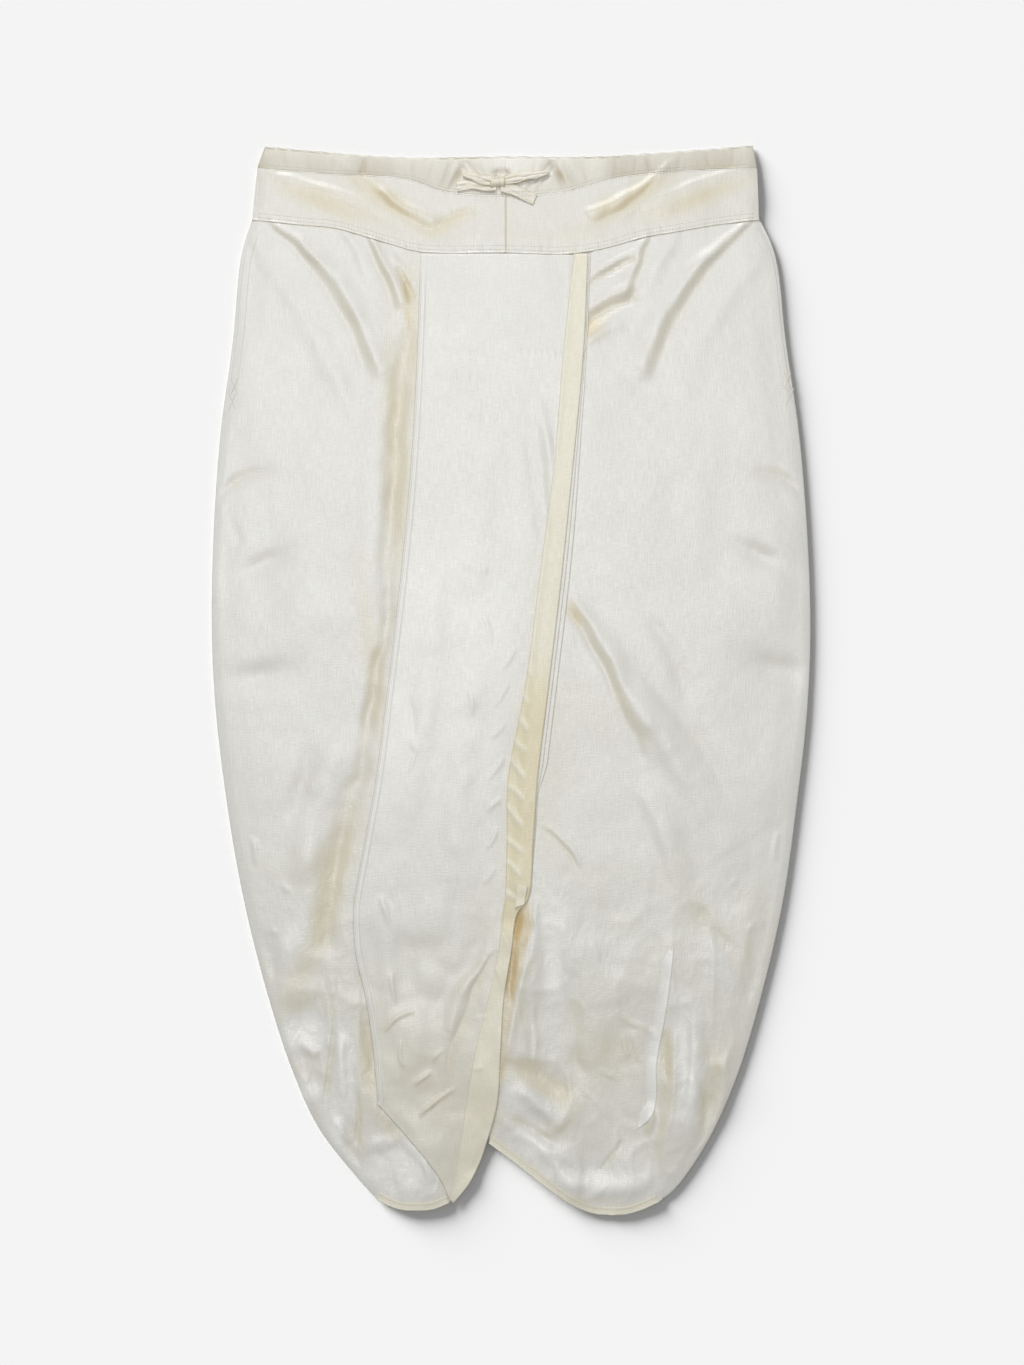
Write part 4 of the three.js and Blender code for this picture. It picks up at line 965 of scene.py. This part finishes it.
def lay_strip(solid, places, clear, painted_light, material, reach=2, rim=EDGE_BEAD,
              end_fade=0.0):
    """A narrow strip resting on the pile, with a raised bead along both long edges."""
    x, y = places[..., 0], places[..., 1]
    share = np.linspace(-1, 1, x.shape[1])[None, :]
    ends = np.linspace(0, 1, x.shape[0])[:, None]
    sunk = end_fade * (1 - rise(ends, 0, 0.08) * rise(1 - ends, 0, 0.08))
    high = height_on(resting(reach), x, y) + clear + CLOTH + rim * np.abs(share) ** 6 - sunk
    lay_cloth(solid, places, high, painted_light, material)


def share_at(line, y):
    """Share of a falling line's length at which it passes a level."""
    return float(np.interp(-y, -line[:, 1], np.linspace(0, 1, len(line))))


for (sign, word), line in zip(SIDES, hem_edges):
    count, length, area = HEM_CUTS[sign]
    places = strip(line, -sign * np.linspace(-0.2, HEM_DEPTH, 9), count)
    lay_strip(f"hem_{word}", places, -0.1, 0.05, cream)
for (sign, word), edge in zip(SIDES, side_edges):
    offsets = -sign * np.linspace(POCKET_INSET, POCKET_INSET + POCKET_WIDTH, 9)
    places = strip(edge, offsets, 110, share_at(edge, POCKET_TOP), share_at(edge, POCKET_LOW))
    lay_strip(f"pocket_edge_{word}", places, -0.56, 0.04, ivory,
              reach=1, rim=0.08, end_fade=0.6)

# %% [markdown]
# ## Folded edge of the released pleat
# On the right leg a pleat has opened, and its old fold still stands as an edge that curves down to the
# hem. Its outer side stands a little proud. Its inner side runs smoothly into the leg.

# %% Released pleat
PLEAT_EDGE_WIDTH = 14
PLEAT_EDGE_RISE = 0.10
PLEAT_EDGE_GRID = (150, 12)
offsets = -np.linspace(0, PLEAT_EDGE_WIDTH, PLEAT_EDGE_GRID[1])
places = strip(smooth_line(PLEAT_EDGE_RIGHT), offsets, PLEAT_EDGE_GRID[0])
x, y = places[..., 0], places[..., 1]
inward = np.linspace(0, 1, PLEAT_EDGE_GRID[1])[None, :]
run = np.linspace(0, 1, PLEAT_EDGE_GRID[0])
ends = (rise(run, 0, 0.12) * rise(run[::-1], 0, 0.45))[:, None]
proud = (PLEAT_EDGE_RISE + THIN_CLOTH) * (1 - inward) ** 1.2 * ends - 0.25 * inward - 0.5 * (1 - ends)
# The proud outer side of the old fold gets a painted highlight
lay_cloth("pleat_edge_right", places, height_on(resting(1), x, y) + proud,
          front_painted_light(x, y, 0 * x) - 0.45 * (1 - inward), ivory,
          wall=THIN_CLOTH)

# %% [markdown]
# ## Under-pleats
# Two more pleats lie beneath the front one. Only their folded edges show, as thin lines to the right of
# the panel, close together at the yoke and further apart down the leg.

# %% Under-pleats
# name, distances of the two edges from the panel's right edge, columns
UNDER_PLEATS = [("wide", -10, 7.6, 16), ("narrow", -8, 3.4, 12)]
right_levels = [(row[3], row[0]) for row in PLEAT_LEVELS if row[0] > UNDER_PLEAT_END[1]]
under_line = smooth_line(right_levels + [UNDER_PLEAT_END])


def spread_strip(line, offsets, count):
    """A strip whose distances from the line start small and grow down its length."""
    share = np.linspace(0, 1, count)
    base = along(line, share)[:, None]
    grow = (0.35 + 0.65 * rise(share, 0.1, 0.5)) * (1 - 0.8 * rise(share, 0.80, 0.86))
    grow = np.where(np.array(offsets)[None, :] > 0, grow[:, None], 1.0)
    return base + (strip(line, offsets, count) - base) * grow[..., None]


for name, low, high_offset, count in UNDER_PLEATS:
    places = spread_strip(under_line, np.linspace(low, high_offset, count), 210)
    lay_strip(f"pleat_under_{name}", places, 0.05, 0.10, ivory,
              rim=0.2)

# %% [markdown]
# ## Front pleat panel
# The panel is the veshti's front fall: a wide pleat from the yoke to the left leg opening. Its left edge
# is folded and pressed, with a second crease a few millimetres in. The grid stands closest together there.
# Old pressing left rows of short creases across it. The right edge carries a cream facing, laid on next.

# %% Pleat panel
# Ridges beside the folded edge: distance from it, half width, lift
EDGE_RIDGES = [(0.9, 0.8, 0.75), (2.7, 0.7, -0.12), (4.3, 1.0, 0.45), (7.0, 1.8, -0.1)]
EDGE_LOFT = 0.5
# Rows of short pressed creases across the panel: first and last x, first and last y, how many
TICK_ROWS = [
    (-63, -27, 311, 308, 6), (7.5, 51, 308, 306, 8), (-55, -27, 283, 281, 5), (-47, -38, 211, 208, 3),
    (-42, -26, 106, 103, 5), (-13, 1, 104, 88, 5), (-60, -30, 250, 248, 4),
]
# Warm clouds on the panel: x, y, half length, half width, turn, amount
PANEL_WARMTH = [
    (-70, -170, 40, 20, 70, 0.08), (-20, 190, 30, 10, 60, 0.06), (26, 140, 40, 8, 85, 0.12),
    (-30, -220, 40, 16, 100, 0.12),
]


def column_line(column, tail=()):
    return smooth_line([(row[column], row[0]) for row in PLEAT_LEVELS] + list(tail))


left_fold, facing_line = column_line(1), column_line(2, FACING_TIP)
right_edge = column_line(3, PLEAT_TIP)
facing_ends = [straight(facing_line[k], right_edge[k]) for k in (0, -1)]
main = panel(straight(left_fold[0], facing_line[0]), smooth_line(PLEAT_LOW_EDGE), left_fold, facing_line,
             steps(130, 1.5, first=0.5, last=1.3, fade=20), steps(930, 2.4, last=1.6))
side = panel(*facing_ends, facing_line, right_edge, steps(16, 1.6), steps(930, 2.4, last=1.6))
places = np.concatenate([main, side[:, 1:]], axis=1)
x, y = places[..., 0], places[..., 1]
from_fold = line_distance([left_fold], x, y)
ticks = [(tx, ty + 3.5, tx + 0.6, ty - 3.5, 0, 1.0, 1.0, 0.42)
         for x0, x1, y0, y1, count in TICK_ROWS
         for tx, ty in zip(np.linspace(x0, x1, count), np.linspace(y0, y1, count))]
folds, trough = fold_field(PLEAT_FOLDS + ticks, x, y)
below_seam = rise(seam_y(YOKE_SEAM, x) - y, 0, 40)
low_part = rise(-y, 230, 420)
waves = (0.22 * drift(x, y, 60, 41, 2.2) + 0.10 * drift(x, y, 16, 42, 1.6)) * below_seam
waves += low_part * 0.5 * (1 - np.abs(drift(x, y, 26, 43, 1.8))) ** 3
ridges = sum(lift * np.exp(-((from_fold - place) / width) ** 2) for place, width, lift in EDGE_RIDGES)
ridges = (1 + 0.3 * low_part) * ridges
loft = EDGE_LOFT * below_seam * np.exp(-from_fold / 30)
air = np.maximum(folds + waves + loft + 0.5 * below_seam + ridges * below_seam, 0.05)
air *= 1 - 0.8 * np.exp(-(line_distance([smooth_line(PLEAT_LOW_EDGE)], x, y) / 7) ** 2)
bridged = np.where(y < -150, front_height(x, y)[0] - 0.3, 0)
high = np.maximum(height_on(resting(4), x, y), bridged) + THIN_CLOTH + air
print("pleat panel air, mm:", round(float(air.mean()), 2))

# %% [markdown]
# The panel is whitest in the middle and warmer near the facing and at its low end. It gets painted shade in
# its troughs and on slopes turned from the light, and its pressed edge shows as a golden painted shade line
# with two painted highlight lines beside it.

# %% Tone of the pleat panel
painted_light = 0.26 * rise(-y, 160, 420) + 0.08 * np.clip(trough, 0, 2)
painted_light += 0.14 * rise(shaded_slope(places, high), 0.06, 0.30)
by_facing = np.exp(-line_distance([facing_line], x, y) / 15) * rise(-y, -160, -60) * (1 - rise(-y, 150, 230))
middle_part = rise(y, -200, -60) * (1 - 0.8 * rise(y, 60, 200))
painted_light = painted_light + 0.30 * by_facing + swell_field(PANEL_WARMTH, x, y) - 0.14 * middle_part
painted_light = np.clip(painted_light, STRONGEST_PAINTED_HIGHLIGHT, DEEPEST_PAINTED_SHADE)
# Painted highlights on the two ridges beside the pressed edge, then painted shade along the edge itself and
# in the groove beyond
painted_light -= sum(0.35 * np.exp(-((from_fold - place) / 1.1) ** 2) for place in (1.6, 4.3)) * below_seam
painted_light += 0.40 * np.exp(-(from_fold / 0.6) ** 2) + 0.08 * np.exp(-((from_fold - 6.4) / 1.2) ** 2) * below_seam
lay_cloth("pleat_panel", places, high, painted_light, ivory,
          wall=THIN_CLOTH)

# %% [markdown]
# ## Cream facing
# A straight band of creamier silk is sewn down the panel's right edge. Bias pull from its stitching makes
# short slanting wrinkles in its lower half, and its free lower corner is turned up.

# %% Facing and its corner
FACING_WRINKLES = [
    (8, 24, 20, 6, 0, 2, 2, 0.6), (4, 0, 16, -20, 0, 2, 2, 0.7), (0, -26, 14, -44, 0, 2.4, 2, 0.8),
    (-3, -50, 12, -66, 0, 2, 2, 0.8), (-4, -70, 12, -90, 0, 2.4, 2, 1), (-4, -98, 11, -112, 1, 2, 2, 0.8),
    (-5, -118, 10, -136, 0, 2.2, 2, 0.9), (-5, -146, 12, -160, 0, 2, 2, 1),
    (-6, -168, 10, -184, 0, 2, 2, 0.8), (-8, -196, 8, -206, 0, 2.4, 2, 0.9),
    (-14, -226, -2, -252, 1, 2.4, 3, 0.9), (-22, -252, -6, -290, 1, 3, 3, 0.8),
    (-38, -318, -22, -316, 1, 1.2, 1.2, 0.7), (-36, -364, -25, -363, 0.5, 1.2, 1.2, 0.7),
]
FACING_RIM = [(0.7, 0.7, 0.35), (2.0, 0.7, -0.15)]
places = panel(*facing_ends, facing_line, right_edge, steps(16, 0.9), steps(930, 2.4))
x, y = places[..., 0], places[..., 1]
from_line = line_distance([facing_line], x, y)
rim = sum(lift * np.exp(-((from_line - place) / width) ** 2) for place, width, lift in FACING_RIM)
wrinkles, _ = fold_field(FACING_WRINKLES, x, y)
rim *= 1 - 0.7 * rise(-y, 200, 260)
high = height_on(resting(2), x, y) + 0.05 + THIN_CLOTH + np.maximum(wrinkles + rim, -0.08)
# Painted shade in the hollows between the wrinkles; the band is also darker below its middle and lighter
# again at its low end
wrinkle_hollow_shade = rise(0.28 - wrinkles, 0, 0.24) * rise(-y, -40, 20) * (1 - rise(-y, 220, 262))
painted_light = 0.10 + 0.10 * rise(-y, -100, 100) + 0.34 * wrinkle_hollow_shade - 0.10 * rise(-y, 250, 330)
lay_cloth("pleat_facing", places, high, painted_light, cream,
          wall=THIN_CLOTH)

corner_top, corner_low = straight((5.5, -190), (15.5, -193)), straight((3.5, -213), (12.5, -210))
corner_sides = [straight(corner_top[k], corner_low[k]) for k in (0, -1)]
places = panel(corner_top, corner_low, *corner_sides, steps(9, 0.8), steps(20, 0.9))
curl = np.linspace(0, 1, places.shape[0])[:, None]
high = height_on(resting(3), places[..., 0], places[..., 1]) + 0.1 + CLOTH + 1.4 * curl ** 2
lay_cloth("facing_corner", places, high, 0.25, cream,
          turn=30)

# %% [markdown]
# ## Yoke and front casing
# The yoke is cut on the straight, so its slubs run level. It carries the pull of the waist as soft
# diagonal folds. The casing is a tunnel: the cloth is doubled over the drawstring, bulges a little between
# its seam and its edge and gathers beside the slit.

# %% Yoke halves
SEAM_LAP = 1.1
SEAM_RIDGE, SEAM_RIDGE_REACH = 0.3, 7
YOKE_TONE = 0.08
# Shaded bands of the yoke: x, y, half length, half width, turn, amount
YOKE_SHADE = [
    (-176, 449, 50, 9, -22, 0.44), (-114, 449, 46, 10, -33, 0.46), (-54, 432, 20, 7, 25, 0.34),
    (177, 453, 50, 9, 22, 0.44), (114, 453, 46, 10, 33, 0.46), (86, 446, 12, 7, 50, 0.34),
    (0, 418, 120, 5, 0, 0.1),
]


def centre_ridge(sign, x):
    """The left half laps over the right one at the centre seam, which dips beneath it."""
    away = np.abs(CENTRE_SEAM + CENTRE_LAP - x)
    return (0.04 if sign < 0 else -0.15) * np.exp(-(away / 2) ** 2)


def seam_ridge(seam, x, y):
    """Height that the seam allowance inside gives the cloth just above a seam."""
    above = np.clip(y - seam_y(seam, x), 0, None)
    return SEAM_RIDGE * np.exp(-(above / SEAM_RIDGE_REACH) ** 2)


def fine_pucker(x, y):
    """Small ripples between the two stitch rows above the yoke seam."""
    above = y - seam_y(YOKE_SEAM, x)
    return 0.16 * drift(x, y * 0.3, 2.4, 61) * np.exp(-((above - 4) / 4) ** 2)


def lay_yoke(sign, word, across):
    places = band(CASING_SEAM, YOKE_SEAM, sign, across, steps(52, 1.4, last=0.6), SEAM_LAP)
    x, y = places[..., 0], places[..., 1]
    high, trough = front_height(x, y)
    high += seam_ridge(YOKE_SEAM, x, y) + centre_ridge(sign, x) - tucked(CASING_SEAM, x, y)
    high += 0.5 * pucker(x, y, CASING_SEAM, 13, 0.3) + fine_pucker(x, y)
    high = np.maximum(high, height_on(resting(2), x, y) + 0.05 + THIN_CLOTH)
    # Painted shade along the lapped centre seam, in the shaded bands, in troughs and on slopes turned from
    # the light
    seam_shade = 0.25 * np.exp(-((x - CENTRE_SEAM - CENTRE_LAP) / 0.8) ** 2)
    painted_light = np.clip(swell_field(YOKE_SHADE, x, y) + 0.1 * trough + slope_shade(places, high), 0, 0.6)
    lay_cloth(f"front_yoke_{word}", places, high, painted_light + seam_shade + YOKE_TONE, ivory,
              wall=THIN_CLOTH)


# %% Casing halves
# Gathers of the casing: place, half width, depth, slant
GATHERS = [
    (-50, 3.4, 1.4, 0.5), (-40, 1.8, 0.9, -0.7), (-32, 2, 0.9, -0.9), (-24, 1.6, 0.6, -0.3),
    (-60, 3, 0.8, 0.4), (-76, 2, 0.35, 0.3), (44, 3.4, 1.4, -0.5), (35, 1.8, 0.9, 0.7),
    (28, 1.8, 0.8, 0.9), (20, 1.5, 0.5, 0.3), (55, 3, 0.8, -0.4), (70, 2, 0.35, -0.3),
    (-140, 2.2, 0.8, 0.2), (131, 2.2, 0.8, -0.2), (-92, 2, 0.4, 0.2), (-112, 1.6, 0.3, 0),
    (-168, 1.8, 0.35, 0.1), (-190, 1.6, 0.3, 0), (98, 2, 0.4, 0), (116, 1.6, 0.3, 0.1),
    (158, 1.8, 0.35, 0), (186, 1.6, 0.3, -0.1), (-212, 1.6, 0.3, 0), (208, 1.6, 0.3, 0),
]
# Brown shade in the deepest gathers: x, y, half length, half width, turn, amount
GATHER_SHADE = [
    (-48, 476, 8, 4, 60, 0.5), (46, 475, 8, 4, -60, 0.5), (-36, 484, 10, 4, -40, 0.4),
    (33, 484, 9, 4, 40, 0.4),
]
# The slit for the drawstring: x, y, and its half width
SLIT_X, SLIT_Y, SLIT_HALF = -9, 477.5, 9.45


def lay_casing(sign, word, across):
    places = band(WAIST_EDGE, CASING_SEAM, sign, across, steps(26, 1.0, last=0.5, fade=4), SEAM_LAP)
    x, y = places[..., 0], places[..., 1]
    share = np.clip((y - seam_y(CASING_SEAM, x)) / (seam_y(WAIST_EDGE, x) - seam_y(CASING_SEAM, x)), 0, 1)
    high = front_height(x, y)[0]
    high += 0.10 + 0.5 * np.sin(math.pi * share) + pucker(x, y, CASING_SEAM, 15, 0.12)
    gathered = np.zeros_like(x)
    for place, width, depth, slant in GATHERS:
        away = x - place - slant * (y - 475)
        gathered += depth * np.exp(-(away / width) ** 2) * np.sin(math.pi * share) ** 0.5
    near_slit = np.exp(-((x - SLIT_X) / SLIT_HALF) ** 4 - ((y - SLIT_Y) / 3.2) ** 2)
    high += centre_ridge(sign, x) - gathered - 0.9 * near_slit
    # Painted shade in the gathers and at the slit; the casing is also darker towards its sides and its seam,
    # and varies at random along the waist
    painted_light = 0.42 * rise(np.abs(x), 46, 100) + 0.22 * (0.5 - share) + 0.2 * gathered + 0.6 * near_slit
    painted_light += swell_field(GATHER_SHADE, x, y) + 0.18 * drift(x, 0 * x, 20, 74)
    lay_cloth(f"front_casing_{word}", places, high, painted_light, casing,
              wall=0.6, crease=0.3)


for sign, word in SIDES:
    across = steps(240, 1.3, first=0.8, last=0.5)
    lay_yoke(sign, word, across)
    lay_casing(sign, word, across)

# %% [markdown]
# ## Drawstring bow
# The drawstring is a flat tape of the same silk, about 10 mm wide, pulled through the slit and tied in a
# small bow. A loop is the tape doubled back on itself. It is made as a strip whose middle line runs out
# along the top and back beneath, pinched where it leaves the knot. The two ends lie flat on the yoke.

# %% Ends and loops of the bow
TIE_CLOTH = 0.7
BOW_RISE = 0.8
LOOP_GRID, END_GRID = (70, 21), (60, 17)
# name, middle line, width
TIE_ENDS = [
    ("tie_end_left", [(-14, 464), (-24, 463.5), (-36, 465), (-51, 463)], 9.5),
    ("tie_end_right", [(-9, 463), (0, 461), (12, 455.5), (22.5, 451)], 10.5),
]
# name, start, end, height of the oval, pinch at the knot, where it is widest
TIE_LOOPS = [
    ("tie_loop_left", (-14.5, 467.5), (-45, 474), 1.7, 0.34, 11.0),
    ("tie_loop_right", (-8, 468), (36, 476), 1.7, 0.30, 10.0),
]
bow_base = float(height_on(resting(6), np.array([[-11.5]]), np.array([[467.0]]))[0, 0])


def tape_loop(start, end, height, pinch, widest):
    """Tape that goes out from the knot, turns and comes back beneath itself."""
    start, end = np.array(start), np.array(end)
    length = float(np.linalg.norm(end - start))
    ahead = (end - start) / length
    sideways = np.array([-ahead[1], ahead[0]])
    angle = np.linspace(0.10, 1.90, LOOP_GRID[0])[:, None] * math.pi
    across = np.linspace(-1, 1, LOOP_GRID[1])[None, :]
    out = 0.5 * (1 - np.cos(angle))
    full = pinch + (1 - pinch) * np.sin(math.pi * np.clip(out, 0, 1) ** 0.8) ** 0.7
    half = 0.5 * widest * full * (1 + 0.34 * drift(30 * out, 12 * across, 8, 71))
    run = length * out * (1 - 0.10 * across ** 2)
    x, y = (start[k] + ahead[k] * run + sideways[k] * across * half for k in (0, 1))
    crease = 0.45 * np.cos(across * 7 + 1.0 + 2 * out) * (1 - 0.5 * out)
    crease = crease + 0.9 * drift(30 * out, 14 * across, 4.5, 72) * (1 - across ** 4)
    z = bow_base + BOW_RISE + height / 2 * (1 + np.sin(angle)) * (1 - 0.35 * across ** 2) + crease + TIE_CLOTH
    return np.stack([x, y], -1), z


for name, middle, width in TIE_ENDS:
    places = strip(smooth_line(middle), np.linspace(-width / 2, width / 2, END_GRID[1]), END_GRID[0])
    across = np.linspace(-1, 1, END_GRID[1])[None, :]
    out = np.linspace(0, 1, END_GRID[0])[:, None]
    high = height_on(resting(2), places[..., 0], places[..., 1]) + 0.2 + TIE_CLOTH + 0.5 * np.abs(across) ** 4
    high += 0.9 * np.exp(-((out - 0.55) / 0.25) ** 2) * (1 - across ** 2) + 0.8 * (1 - out) ** 2
    high += 0.5 * (1 + drift(30 * out, 12 * across, 5, 73)) * (1 - across ** 4)
    # Painted shade along the tape's edges
    lay_cloth(name, places, high, 0.04 + 0.3 * np.abs(across) ** 6, tape,
              wall=TIE_CLOTH)

for name, start, end, height, pinch, widest in TIE_LOOPS:
    places, z = tape_loop(start, end, height, pinch, widest)
    # Painted shade along the tape's edges
    painted_light = 0.05 + 0.3 * np.abs(np.linspace(-1, 1, LOOP_GRID[1]))[None, :] ** 6
    lay_cloth(name, places, z, painted_light, tape, wall=TIE_CLOTH)

# %% Knot
KNOT_CENTRE = (-12.5, 467.0)
KNOT_HALF = (7.0, 5.2)
turns = np.linspace(-0.15, 1.15, 48)[:, None] * math.pi
across = np.linspace(-1, 1, 19)[None, :]
waist = 1 - 0.22 * np.cos(across * 1.2) + 0.10 * across ** 2
x = KNOT_CENTRE[0] + KNOT_HALF[0] * across * (0.92 + 0.08 * np.sin(turns))
y = KNOT_CENTRE[1] + KNOT_HALF[1] * np.cos(turns) * waist + 0.6 * across
z = bow_base + 0.6 + 4.4 * np.sin(turns) * (1 - 0.18 * across ** 2) + 0.35 * np.cos(across * 8)
# Painted shade where the knot turns down at its sides
painted_light = 0.15 + 0.4 * np.abs(across) ** 4
lay_cloth("tie_knot", np.stack([x, y], -1), np.maximum(z, bow_base + 0.2), painted_light, tape,
          wall=TIE_CLOTH)

# %% [markdown]
# ## Sewing
# Every seam is top-stitched. A stitch is a small pillow of thread that sits in the cloth, 3 mm from the
# next. One low sphere made by an operator stands for it, turned along the seam and repeated, and all the
# stitches of one seam are one piece. The bartacks and the threads round the buttonhole are closer and
# thicker.

# %% Stitches
STITCH_PITCH = 3.0
STITCH_HALF = (1.05, 0.24, 0.20)
STITCH_SINK = 0.02
HEM_STITCHES = 5.2
# Two crossed bars each: left and right x, middle y
BARTACKS = [(-263, -256, 276), (-265, -258, 262), (256, 263, 281), (258, 266, 267)]


def stitch_rows(name, rows, pitch=STITCH_PITCH, half=STITCH_HALF):
    """Stitches along some rows of places in millimetres, resting on the pile."""
    top = resting(1)
    bm = bmesh.new()
    count = 0
    for row in rows:
        length = float(np.linalg.norm(np.diff(row, axis=0), axis=1).sum())
        number = max(int(length / pitch), 2)
        share = (np.arange(number) + 0.5) / number
        spots = along(row, share)
        z = height_on(top, spots[:, 0], spots[:, 1]) + STITCH_SINK
        for (px, py), (ax, ay), pz in zip(spots, heading(row, share), z):
            place = Matrix.Translation((px * MM, py * MM, pz * MM))
            turned = place @ Matrix.Rotation(math.atan2(ay, ax), 4, "Z")
            size = Matrix.Diagonal((half[0] * MM, half[1] * MM, half[2] * MM, 1))
            bmesh.ops.create_icosphere(bm, subdivisions=1, radius=1, matrix=turned @ size)
            count += 1
    add_piece(name, finished_mesh(name, bm), pale_thread)
    print(f"{name}: {count} stitches")


def level_line(x0, y0, x1, y1):
    return straight((x0, y0), (x1, y1), 60)


def spoke(angle):
    """A thread that runs outwards from the slit."""
    c, s = math.cos(angle), math.sin(angle)
    return level_line(SLIT_X + 4.5 * c, SLIT_Y - 1 + 3.5 * s, SLIT_X + 8.5 * c, SLIT_Y - 1 + 6 * s)


stitch_rows("stitches_yoke", [raised_line(YOKE_SEAM, by, -238, 228) for by in (2.2, 6.0)])
stitch_rows("stitches_casing", [raised_line(CASING_SEAM, by, -232, 226) for by in (-2.0, 2.4)])
front_rows = [level_line(-5.2, 455, -5.2, 405), level_line(-33, 456, -35.5, 406)]
stitch_rows("stitches_front_seam", front_rows)
hem_rows = [strip(edge, [-sign * HEM_STITCHES], LINE_POINTS)[:, 0]
            for (sign, word), edge in zip(SIDES, hem_edges)]
stitch_rows("stitches_hems", hem_rows)
bars = [level_line(a, y0 + 8, b, y0 - 8) for x0, x1, y0 in BARTACKS for a, b in ((x0, x1), (x1, x0))]
stitch_rows("bartacks_pockets", bars, pitch=1.6, half=(1.1, 0.34, 0.3))
stitch_rows("buttonhole_threads", [spoke(a) for a in np.linspace(0, 6, 20)], pitch=1.5,
            half=(1.2, 0.28, 0.28))

# %% [markdown]
# ## Floor, light and camera
# The photo is a catalogue picture: pale ground, one large soft light overhead and one beyond the waist,
# and shade that falls to the right and below. The cloth and the floor are lit apart, so that the gloss of
# the one and the shade on the other can each follow the photo. The camera looks straight down, with its
# top towards the waist.

# %% Floor
FLOOR_SIZE = 60.0
FLOOR_DROP = 0.0004
bm = bmesh.new()
bmesh.ops.create_grid(bm, x_segments=2, y_segments=2, size=FLOOR_SIZE / 2)
bmesh.ops.translate(bm, verts=bm.verts, vec=(0, 0, -FLOOR_DROP))
floor = add_object("floor", finished_mesh("floor", bm))
paper, paper_tree = new_material("matt_paper_floor")
paper_inputs = {"Base Color": colour("#f1f1f1"), "Roughness": 0.9}
paper_shader = node(paper_tree, "ShaderNodeBsdfPrincipled", paper_inputs)
node(paper_tree, "ShaderNodeOutputMaterial", {"Surface": paper_shader.outputs[0]})
floor.data.materials.append(paper)
print("floor, m:", FLOOR_SIZE)

# %% Light
scene = bpy.context.scene
scene.view_settings.view_transform = "Standard"


def lit_group(name, objects):
    group = bpy.data.collections.new(name)
    for lit in objects:
        group.objects.link(lit)
    return group


def add_lamp(name, kind, power, ray, receivers, place=(0, 0, 0)):
    """A lamp at a place that shines along a ray on its own group of objects."""
    data = bpy.data.lights.new(name, kind)
    data.energy = power
    lamp = add_object(name, data)
    lamp.location = place
    lamp.rotation_euler = Vector(ray).to_track_quat("-Z", "Y").to_euler()
    lamp.light_linking.receiver_collection = receivers
    return data


# name, place, size, power. Both softboxes are round and aim at the origin.
SOFTBOXES = [("softbox_overhead", (-0.12, 0.30, 3.4), 1.1, 32), ("softbox_top", (-0.5, 2.3, 1.9), 1.0, 38)]
floor_only, cloth_only = lit_group("lit_floor", [floor]), lit_group("lit_cloth", made_pieces)
for name, place, size, power in SOFTBOXES:
    box = add_lamp(name, "AREA", power, -Vector(place), cloth_only, place)
    box.shape = "DISK"
    box.size = size
add_lamp("floor_key", "SUN", 6.6, (1.0, -1.0, -0.50), floor_only).angle = math.radians(30)
world = bpy.data.worlds.new("studio")
world.use_nodes = True
world.node_tree.nodes["Background"].inputs["Color"].default_value = colour("#ffffff")
world.node_tree.nodes["Background"].inputs["Strength"].default_value = 0.32
scene.world = world
print("lights:", [lamp.name for lamp in bpy.data.lights])

# %% Camera
LENS, SENSOR = 85, 36
PHOTO_HEIGHT, PIXEL = 1365, 0.94
AIM = (0.9 * MM, -1.9 * MM)
camera_data = bpy.data.cameras.new("camera")
camera_data.lens = LENS
camera_data.sensor_width = SENSOR
camera = add_object("camera", camera_data)
camera.location = (*AIM, PHOTO_HEIGHT * PIXEL * MM * LENS / SENSOR)
scene.camera = camera
print("camera height, m:", round(camera.location.z, 3))
